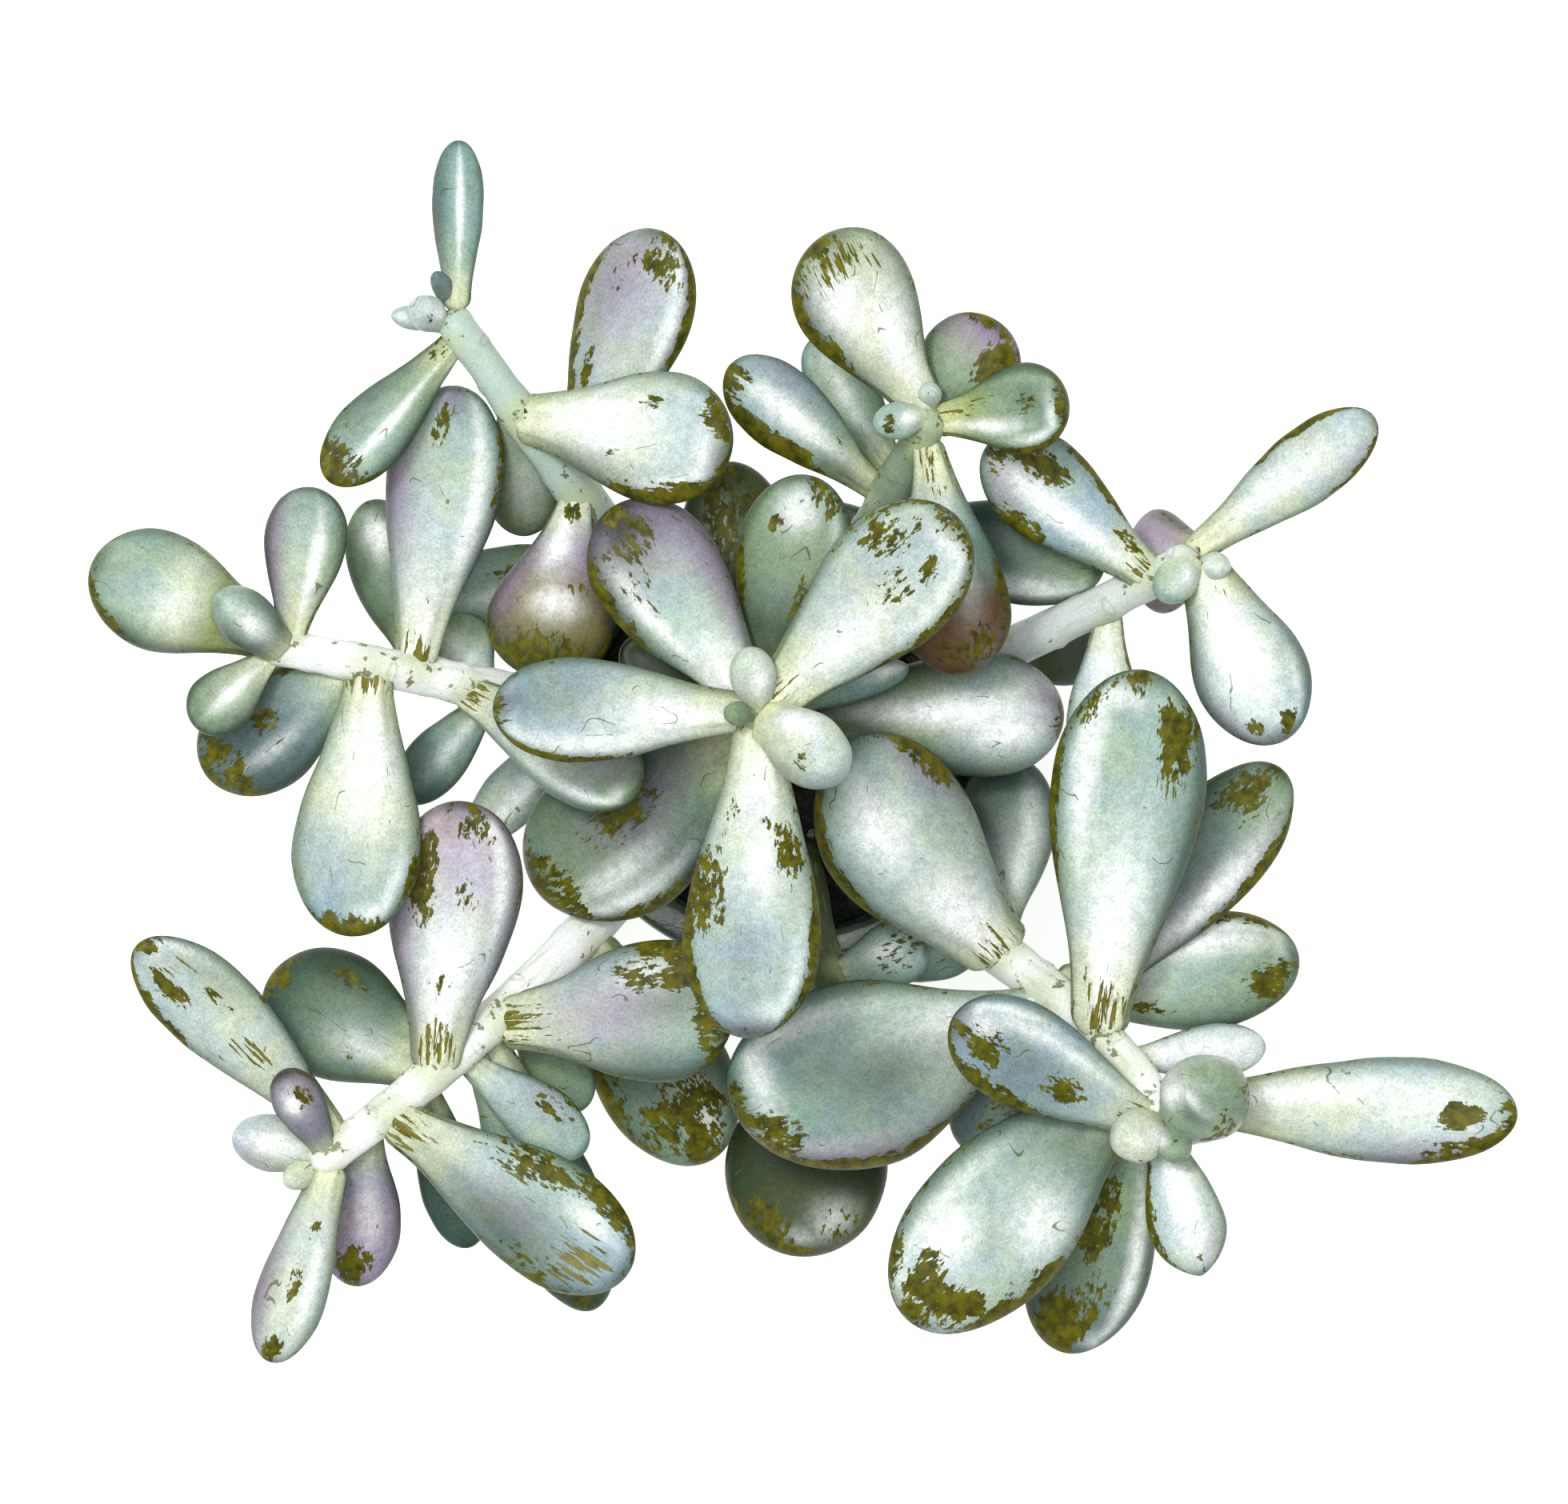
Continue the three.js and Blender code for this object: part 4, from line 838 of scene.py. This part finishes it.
def drill_hole(piece, x, y, radius, depth):
    """Cuts an upright round hole through a piece."""
    deselect()
    bpy.ops.mesh.primitive_cylinder_add(
        vertices=DRAIN_SIDES, radius=radius * MM, depth=depth * MM, location=(x * MM, y * MM, 0))
    drill = bpy.context.object
    deselect()
    piece.select_set(True)
    bpy.context.view_layer.objects.active = piece
    cut = piece.modifiers.new("hole", "BOOLEAN")
    cut.operation = "DIFFERENCE"
    cut.solver = "EXACT"
    cut.object = drill
    bpy.ops.object.modifier_apply(modifier=cut.name)
    bpy.data.objects.remove(drill)


def make_pot(material):
    """The pot: a thrown, tapering wall with a stepped rim band, a turned foot and drain holes."""
    band = POT_HEIGHT - RIM_BAND_HEIGHT
    corners = [
        (HUB_RADIUS, FOOT_RECESS),
        (POT_FOOT_RADIUS - FOOT_RING, FOOT_RECESS),
        (POT_FOOT_RADIUS - FOOT_RING + FOOT_BEVEL, 0),
        (POT_FOOT_RADIUS - FOOT_EDGE, 0),
        (cone_radius(2), 2),
    ]
    corners += [(cone_radius(h), h) for h in np.linspace(3, band - 1, band - 4)]
    corners += [
        (cone_radius(band), band),
        (POT_RIM_RADIUS, band),
        (POT_RIM_RADIUS, POT_HEIGHT),
        (cone_radius(POT_HEIGHT) - POT_WALL, POT_HEIGHT),
        (cone_radius(band) - POT_WALL, band),
        (cone_radius(POT_FLOOR) - POT_WALL, POT_FLOOR),
        (HUB_RADIUS, POT_FLOOR),
    ]
    pot = turned("glazed_pot", rounded(corners, EDGE_ROUND))
    points = coordinates(pot.data) / MM
    radius = np.hypot(points[:, 0], points[:, 1])
    height = points[:, 2]
    turn = np.arctan2(points[:, 1], points[:, 0])
    rings = np.sin(2 * math.pi * height / THROWING_PITCH + THROWING_WOBBLE * np.sin(turn))
    wall = smooth(-1, 0, radius - cone_radius(height)) * smooth(2, 6, height)
    wall = wall * smooth(POT_HEIGHT, band + 4, height)
    points[:, :2] *= (1 + wall * THROWING_DEPTH * rings / np.maximum(radius, 1))[:, None]
    set_coordinates(pot.data, points * MM)
    for hole in range(DRAIN_HOLES):
        turn = 2 * math.pi * hole / DRAIN_HOLES
        place = DRAIN_CIRCLE * math.cos(turn), DRAIN_CIRCLE * math.sin(turn)
        drill_hole(pot, *place, DRAIN_RADIUS, 3 * POT_FLOOR)
    bpy.ops.object.shade_smooth_by_angle(angle=math.radians(40))
    finish_piece(pot, material, "pot")


def soil_height(x, y):
    """Height of the soil's mounded, uneven top."""
    share = math.hypot(x, y) / soil_radius(SOIL_TOP)
    height = SOIL_TOP + SOIL_MOUND * (1 - share * share)
    for size, rise, place in SOIL_LUMPS:
        height += rise * noise.noise(Vector((x / size, y / size, place)))
    return height


def make_soil(material):
    """The soil: a block that fills the pot, with a mounded, crumbly top."""
    top = soil_radius(SOIL_TOP)
    bottom = POT_FLOOR + SEAT_GAP
    profile = [(HUB_RADIUS, bottom), (soil_radius(bottom), bottom), (top, SOIL_TOP)]
    profile += [(top * share, SOIL_TOP) for share in np.linspace(0.98, 0.02, SOIL_RINGS)]
    soil = turned("soil_fill", profile)
    points = coordinates(soil.data) / MM
    for point in points:
        if point[2] > SOIL_TOP - 0.01:
            point[2] = soil_height(point[0], point[1])
    set_coordinates(soil.data, points * MM)
    bpy.ops.object.shade_smooth_by_angle(angle=math.radians(60))
    finish_piece(soil, material, "soil")


def make_stones(name, material, count, small, large, detail, seed):
    """Loose crumbs and grit lying on the soil, each a squashed stone of its own shape and turn."""
    deselect()
    bpy.ops.mesh.primitive_ico_sphere_add(subdivisions=detail, radius=1)
    stone = bpy.context.object
    shape = coordinates(stone.data)
    faces = np.array([list(face.vertices) for face in stone.data.polygons])
    bpy.data.objects.remove(stone)
    draw = np.random.default_rng(seed)
    points, corners, shades = [], [], []
    for k in range(count):
        size = small + (large - small) * draw.random() ** 2
        reach = (soil_radius(SOIL_TOP) - size) * math.sqrt(draw.random())
        turn = 2 * math.pi * draw.random()
        axes = np.linalg.qr(draw.normal(size=(3, 3)))[0]
        if np.linalg.det(axes) < 0:
            axes[:, 0] = -axes[:, 0]
        squash = size * np.array([1, 0.6 + 0.3 * draw.random(), 0.5 + 0.3 * draw.random()])
        dents = 1 + 0.16 * draw.normal(size=len(shape)).clip(-1.6, 1.6)
        x, y = reach * math.cos(turn), reach * math.sin(turn)
        place = np.array([x, y, soil_height(x, y) + 0.25 * size])
        points.append((shape * dents[:, None] * squash) @ axes.T + place)
        corners.append(faces + k * len(shape))
        shades.append(np.full(len(shape), draw.random()))
    mesh = bpy.data.meshes.new(name)
    points = np.concatenate(points) * MM
    mesh.from_pydata(points.tolist(), [], np.concatenate(corners).tolist())
    set_attribute(mesh, "grain_shade", np.concatenate(shades))
    stones = bpy.data.objects.new(name, mesh)
    bpy.context.scene.collection.objects.link(stones)
    finish_piece(stones, material, "soil")


# Materials

def new_material(name):
    material = bpy.data.materials.new(name)
    material.use_nodes = True
    tree = material.node_tree
    return material, tree, tree.nodes["Principled BSDF"]


def plug(tree, socket, value):
    """Links what another node gives into an input, or sets the input itself."""
    if isinstance(value, bpy.types.NodeSocket):
        tree.links.new(value, socket)
    else:
        socket.default_value = value


def add_node(tree, kind, inputs=None, output=0, **settings):
    """Adds a node with its settings and what goes into it, and gives one of its outputs."""
    node = tree.nodes.new("ShaderNode" + kind)
    for name, value in settings.items():
        setattr(node, name, value)
    for key, value in (inputs or {}).items():
        plug(tree, node.inputs[key], value)
    return node.outputs[output]


def eased(tree, pattern, low, high, start=0.0, end=1.0, amount=1.0):
    """A share that goes smoothly from start to end as a pattern goes from low to high, times an
    amount."""
    climb = {0: pattern, 1: low, 2: high, 3: start, 4: end}
    share = add_node(tree, "MapRange", climb, interpolation_type="SMOOTHSTEP")
    return add_node(tree, "Math", {0: share, 1: amount}, operation="MULTIPLY")


def toned(tree, colour, tone, pattern, low, high, start=0.0, end=1.0, amount=1.0, blend="MIX"):
    """A colour with a tone laid over it, as thickly as the eased pattern says."""
    share = eased(tree, pattern, low, high, start, end, amount)
    tone = linear(tone) if isinstance(tone, str) else tone
    mix = {0: share, 6: colour, 7: tone}
    return add_node(tree, "Mix", mix, 2, data_type="RGBA", blend_type=blend)


def set_surface(tree, shader, colour, relief, depth, strength, values):
    """Gives a finish its colour, its fine relief with a depth in millimetres, and its values."""
    bump = add_node(tree, "Bump", {"Height": relief, "Distance": depth * MM, "Strength": strength})
    for name, value in {"Base Color": colour, "Normal": bump, **values}.items():
        plug(tree, shader.inputs[name], value)


def worn_skin(tree, place, edge, wear, patches):
    """Where the powder is rubbed off a leaf: in clustered flecks at its worn places and along its
    edges, and in a few fine scratches."""
    drawn_out = add_node(tree, "Mapping", {"Vector": place, "Scale": (0.45, 1, 1)})
    flecks = add_node(tree, "TexNoise", {"Vector": drawn_out, **WORN_FLECKS})
    clumps = add_node(tree, "TexNoise", {"Vector": drawn_out, **WORN_CLUMPS})
    clumps = add_node(tree, "Math", {0: clumps, 1: 0.3}, operation="MULTIPLY")
    flecks = add_node(tree, "Math", {0: flecks, 1: 0.7, 2: clumps}, operation="MULTIPLY_ADD")
    rubbed = eased(tree, patches, 0.3, 0.62, 0.7, 1.2, wear)
    edge_wear = eased(tree, edge, 0.8, 1.0, 0, 0.6)
    rubbed = add_node(tree, "Math", {0: rubbed, 1: edge_wear}, operation="ADD")
    rubbed = add_node(tree, "Math", {0: rubbed, 1: 0.265, 2: flecks}, operation="MULTIPLY_ADD")
    bare = eased(tree, rubbed, 0.708, 0.722)

    slanted = add_node(tree, "Mapping", {"Vector": place, "Scale": (0.5, 1, 1)})
    scratch = add_node(tree, "TexNoise", {"Vector": slanted, **SCRATCHES})
    scratch = add_node(tree, "Math", {0: scratch, 1: 0.5}, operation="SUBTRACT")
    scratch = add_node(tree, "Math", {0: scratch}, operation="ABSOLUTE")
    scratch = eased(tree, scratch, 0.0065, 0.002, 0, 1, eased(tree, patches, 0.57, 0.6, 0, 0.75))
    return add_node(tree, "Math", {0: bare, 1: scratch}, operation="MAXIMUM")


def powdery_leaf():
    """Moonstone leaf: a plump waxy skin under white powder, which makes it pale and soft. Where the
    powder is rubbed off, the skin shows olive and a hair lower, with crisp ragged edges, and in dark
    strokes where the leaf joins its stem. Painted highlight lies in the white powder, and painted
    shade darkens the margins, the turned-away faces and the places the shade marks give."""
    material, tree, shader = new_material("powdery_leaf_skin")
    place, span, tint, marks, shades = (
        add_node(tree, "Attribute", output="Vector", attribute_name="leaf_" + name)
        for name in ("place", "span", "tint", "marks", "shades"))
    along, edge, lean = add_node(tree, "SeparateXYZ", {0: span}).node.outputs
    wear, blush, powder_and_highlight = add_node(tree, "SeparateXYZ", {0: marks}).node.outputs
    shade, streak, _ = add_node(tree, "SeparateXYZ", {0: shades}).node.outputs
    broad, mottle, grain, patches = (
        add_node(tree, "TexNoise", {"Vector": place, **pattern})
        for pattern in (LEAF_TONES, LEAF_MOTTLE, LEAF_GRAIN, WORN_PATCHES))
    lengthwise = add_node(tree, "Mapping", {"Vector": place, "Scale": (0.08, 1, 1)})
    fibres = add_node(tree, "TexNoise", {"Vector": lengthwise, **LEAF_FIBRES})
    shade = add_node(tree, "Math", {0: shade, 1: 0.9}, operation="MULTIPLY")
    root = eased(tree, along, 0.36, 0.03, 0, 0.75)
    rim = eased(tree, edge, 0.74, 1.0, 0, 0.75)

    colour = tint
    for layer in (
        ("#eaf1f7", broad, 0.4, 0.6, 0, 1, 1, "MULTIPLY"),
        ("#f5f8ea", broad, 0.6, 0.4, 0, 1, 1, "MULTIPLY"),
        ("#d0d1a4", fibres, 0.3, 0.6, 0.6, 1, root),
        ("#94809a", mottle, 0.25, 0.65, 0.7, 0.95, blush),
        # White powder where the marks put it, with painted highlight in it.
        ("#f5f6f6", mottle, 0.3, 0.6, 0.84, 1, powder_and_highlight),
        # Painted shade towards the margins, and deeper in a band along the rim; in part also the skin
        # showing through thinner powder there.
        ("#b3c2bb", edge, 0.25, 0.95, 0, 0.5, 1, "MULTIPLY"),
        ("#6f8463", mottle, 0.3, 0.7, 0.75, 1, rim, "MULTIPLY"),
        # Painted shade on the flanks and underside, where the skin turns away from the upper face.
        ("#63744e", lean, 0.55, -0.1, 0, 0.6, 1, "MULTIPLY"),
    ):
        colour = toned(tree, colour, *layer)
    # Painted shade, as strong as the shade marks give it.
    shadow = {0: shade, 6: colour, 7: linear("#405548")}
    colour = add_node(tree, "Mix", shadow, 2, data_type="RGBA", blend_type="MULTIPLY")
    colour = toned(tree, colour, "#a3b0a3", mottle, 0.62, 0.36, 0, 0.26, 1, "MULTIPLY")
    colour = toned(tree, colour, "#9aa8a0", grain, 0.35, 0.68, 0, 0.42, 1, "MULTIPLY")

    at_root = eased(tree, along, 0.16, 0.02, 0, 0.35)
    strokes = add_node(tree, "Math", {0: streak, 1: at_root}, operation="ADD")
    strokes = add_node(tree, "Math", {0: strokes, 1: 0.28, 2: fibres}, operation="MULTIPLY_ADD")
    stroke = toned(tree, linear("#454306"), "#66621d", strokes, 0.79, 0.85)
    colour = toned(tree, colour, stroke, strokes, 0.77, 0.782)
    bare = worn_skin(tree, place, edge, wear, patches)
    olive = toned(tree, linear("#2b2d05"), "#5c5903", mottle, 0.3, 0.7)
    colour = add_node(tree, "Mix", {0: bare, 6: colour, 7: olive}, 2, data_type="RGBA")

    relief = add_node(tree, "Math", {0: grain, 1: 0.35}, operation="MULTIPLY")
    relief = add_node(tree, "Math", {0: bare, 1: -0.5, 2: relief}, operation="MULTIPLY_ADD")
    relief = add_node(tree, "Math", {0: mottle, 1: 0.5, 2: relief}, operation="MULTIPLY_ADD")
    set_surface(tree, shader, colour, relief, 0.2, 0.7, {
        "Roughness": eased(tree, bare, 0, 1, 0.38, 0.5),
        "IOR": 1.45,
        "Specular IOR Level": 0.16,
        "Subsurface Weight": 0.06,
        "Subsurface Radius": (0.6, 1.0, 0.5),
        "Subsurface Scale": 2 * MM,
    })
    return material


def powdery_stem():
    """Moonstone stem: smooth pale skin with a little powder, green where it is bare, and olive
    crescents at the old leaf scars and round the leaf roots. Painted shade darkens its underside and
    its lower half."""
    material, tree, shader = new_material("powdery_stem_skin")
    place, marks, tint = (
        add_node(tree, "Attribute", output="Vector", attribute_name="stem_" + name)
        for name in ("place", "marks", "tint"))
    scar, joint, along = add_node(tree, "SeparateXYZ", {0: marks}).node.outputs
    up = add_node(tree, "SeparateXYZ", {0: place}, 2)
    position = add_node(tree, "TexCoord", output="Object")
    mottle = add_node(tree, "TexNoise", {"Vector": position, **STEM_MOTTLE})
    grain = add_node(tree, "TexNoise", {"Vector": position, **STEM_GRAIN})
    lengthwise = add_node(tree, "Mapping", {"Vector": place, "Scale": (0.15, 1, 0)})
    fibres = add_node(tree, "TexNoise", {"Vector": lengthwise, **STEM_FIBRES})
    scar_ring = eased(tree, scar, 0.8, 0.6)
    spots = add_node(tree, "Math", {0: joint, 1: 0.1, 2: mottle}, operation="MULTIPLY_ADD")

    colour = tint
    for layer in (
        # Painted shade on the stem's underside and flanks, by how far the skin faces up.
        ("#8d9a80", up, 0.6, -0.5, 0, 0.85, 1, "MULTIPLY"),
        ("#9dab90", fibres, 0.5, 0.72, 0, 0.45),
        # Painted shade, darker towards the stem's foot.
        ("#7b7f5e", along, 0.5, 0.0, 0, 0.8, 1, "MULTIPLY"),
        ("#aab48a", joint, 0.3, 0.9, 0, 0.6),
        ("#6a7040", scar, 0.3, 0.5, 0, 0.25, scar_ring),
        ("#4f5218", spots, 0.66, 0.7, 0, 0.8),
        ("#8f9f94", grain, 0.35, 0.7, 0, 0.25, 1, "MULTIPLY"),
    ):
        colour = toned(tree, colour, *layer)
    relief = add_node(tree, "Math", {0: grain, 1: 0.3, 2: mottle}, operation="MULTIPLY_ADD")
    set_surface(tree, shader, colour, relief, 0.2, 0.6, {
        "Roughness": 0.42,
        "Specular IOR Level": 0.16,
        "Subsurface Weight": 0.05,
        "Subsurface Scale": 1.5 * MM,
    })
    return material


def glazed_stoneware():
    """Stoneware under a dark green-grey glaze, mottled, streaked and specked: it breaks lighter over
    the rim's edges, and the turned foot is bare clay."""
    material, tree, shader = new_material("glazed_stoneware")
    place = add_node(tree, "TexCoord", output="Object")
    up = add_node(tree, "SeparateXYZ", {0: place}, 2)
    mottle = add_node(tree, "TexNoise", {"Vector": place, **GLAZE_MOTTLE})
    specks = add_node(tree, "TexNoise", {"Vector": place, **GLAZE_SPECKS})
    runs = add_node(tree, "Mapping", {"Vector": place, "Scale": (1, 1, 0.25)})
    streaks = add_node(tree, "TexNoise", {"Vector": runs, **GLAZE_STREAKS})
    wobble = add_node(tree, "Math", {0: mottle, 1: 0.5}, operation="SUBTRACT")
    level = {0: wobble, 1: GLAZE_RUN * MM, 2: up}
    level = add_node(tree, "Math", level, operation="MULTIPLY_ADD")
    foot = [height * MM for height in BARE_FOOT]
    rim = [(POT_HEIGHT - depth) * MM for depth in RIM_BREAK]
    clay = toned(tree, linear("#8f7d66"), "#b09c80", specks, 0.35, 0.65)

    colour = linear("#27423d")
    for layer in (
        ("#47655c", mottle, 0.3, 0.7),
        ("#6f8a7c", streaks, 0.5, 0.75, 0, 0.5),
        ("#56634f", level, *rim, 0, 0.6),
        ("#1b211c", specks, 0.66, 0.72, 0, 0.6),
        (clay, level, *foot),
    ):
        colour = toned(tree, colour, *layer)
    roughness = eased(tree, eased(tree, level, *foot), 0, 1, 0.24, 0.85)
    relief = add_node(tree, "Math", {0: specks, 1: 0.3, 2: mottle}, operation="MULTIPLY_ADD")
    set_surface(tree, shader, colour, relief, 0.3, 0.5, {"Roughness": roughness, "IOR": 1.5})
    return material


def potting_soil():
    """Damp peaty potting soil: dark crumbs with paler flecks of bark."""
    material, tree, shader = new_material("damp_potting_soil")
    place = add_node(tree, "TexCoord", output="Object")
    crumbs = add_node(tree, "TexNoise", {"Vector": place, **SOIL_CRUMBS})
    bark = add_node(tree, "TexNoise", {"Vector": place, **BARK_FLECKS})
    colour = toned(tree, linear("#101610"), "#2c3527", crumbs, 0.35, 0.65)
    colour = toned(tree, colour, "#8b7a5c", bark, 0.7, 0.74, 0, 0.7)
    set_surface(tree, shader, colour, crumbs, 0.8, 1.0, {"Roughness": 0.92})
    return material


def lava_grit():
    """Crushed lava, pumice and bark on the soil: matt, porous and each piece its own shade."""
    material, tree, shader = new_material("crushed_lava_grit")
    shade = add_node(tree, "Attribute", output="Fac", attribute_name="grain_shade")
    place = add_node(tree, "TexCoord", output="Object")
    pores = add_node(tree, "TexNoise", {"Vector": place, **LAVA_PORES})
    colour = toned(tree, linear("#191c15"), "#4c4a38", shade, 0.0, 0.8)
    colour = toned(tree, colour, "#a39c8a", shade, 0.86, 0.9)
    colour = toned(tree, colour, "#75695c", pores, 0.35, 0.7, 0, 1, 1, "MULTIPLY")
    set_surface(tree, shader, colour, pores, 0.4, 1.0, {"Roughness": 0.9})
    return material


# Floor, light and camera

def make_stage():
    deselect()
    bpy.ops.mesh.primitive_plane_add(size=FLOOR_SIZE * MM)
    floor = bpy.context.object
    floor.name = "floor"
    material, tree, shader = new_material("white_paper_floor")
    for name, value in {
        "Base Color": linear("#fbfbfa"),
        "Roughness": 0.9,
        "Specular IOR Level": 0.1,
        "Emission Color": (1, 1, 1, 1),
        "Emission Strength": FLOOR_GLOW,
    }.items():
        plug(tree, shader.inputs[name], value)
    floor.data.materials.append(material)


def make_light():
    world = bpy.data.worlds.new("soft_room")
    world.use_nodes = True
    background = world.node_tree.nodes["Background"]
    background.inputs["Color"].default_value = (1, 1, 1, 1)
    background.inputs["Strength"].default_value = WORLD_LIGHT
    bpy.context.scene.world = world
    for name, setting in (("soft_light", SOFT_LIGHT), ("window_light", WINDOW_LIGHT)):
        lamp = bpy.data.lights.new(name, "AREA")
        lamp.energy = setting["power"]
        lamp.shape = "DISK"
        lamp.size = setting["size"] * MM
        light = bpy.data.objects.new(name, lamp)
        light.location = Vector(setting["place"]) * MM
        aim = Vector(LIGHT_AIM) * MM - light.location
        light.rotation_euler = aim.to_track_quat("-Z", "Y").to_euler()
        bpy.context.scene.collection.objects.link(light)


def make_camera():
    """Straight above the plant, as far off as the perspective of the view asks."""
    lens = bpy.data.cameras.new("view_from_above")
    lens.lens = LENS
    lens.sensor_width = SENSOR
    camera = bpy.data.objects.new("view_from_above", lens)
    camera.location = Vector(CAMERA_PLACE) * MM
    bpy.context.scene.collection.objects.link(camera)
    bpy.context.scene.camera = camera


make_camera()
make_light()
make_stage()
bpy.context.scene.view_settings.view_transform = "Standard"

leaf_skin = powdery_leaf()
stem_skin = powdery_stem()
leaf_master = leaf_ball("leaf_ball", LEAF_SEGMENTS, LEAF_RINGS)
bud_master = leaf_ball("bud_ball", BUD_SEGMENTS, BUD_RINGS)
stem_master = stem_tube()
number = 0
for shoot, (skin, path) in STEMS.items():
    stem = make_stem(stem_master, shoot + "_stem", skin, path, LEAVES[shoot])
    finish_piece(stem, stem_skin, shoot)
    for place, row in enumerate(LEAVES[shoot], 1):
        number += 1
        master = bud_master if row[6] < BUD_LENGTH else leaf_master
        kind = "bud" if row[0] == "bud" else "leaf"
        leaf = make_leaf(master, f"{shoot}_{kind}_{place:02d}", path, row, number)
        finish_piece(leaf, leaf_skin, shoot)
for master in (leaf_master, bud_master, stem_master):
    bpy.data.objects.remove(master)

make_pot(glazed_stoneware())
make_soil(potting_soil())
grit_finish = lava_grit()
make_stones("soil_pebbles", grit_finish, **PEBBLES)
make_stones("soil_grains", grit_finish, **GRAINS)
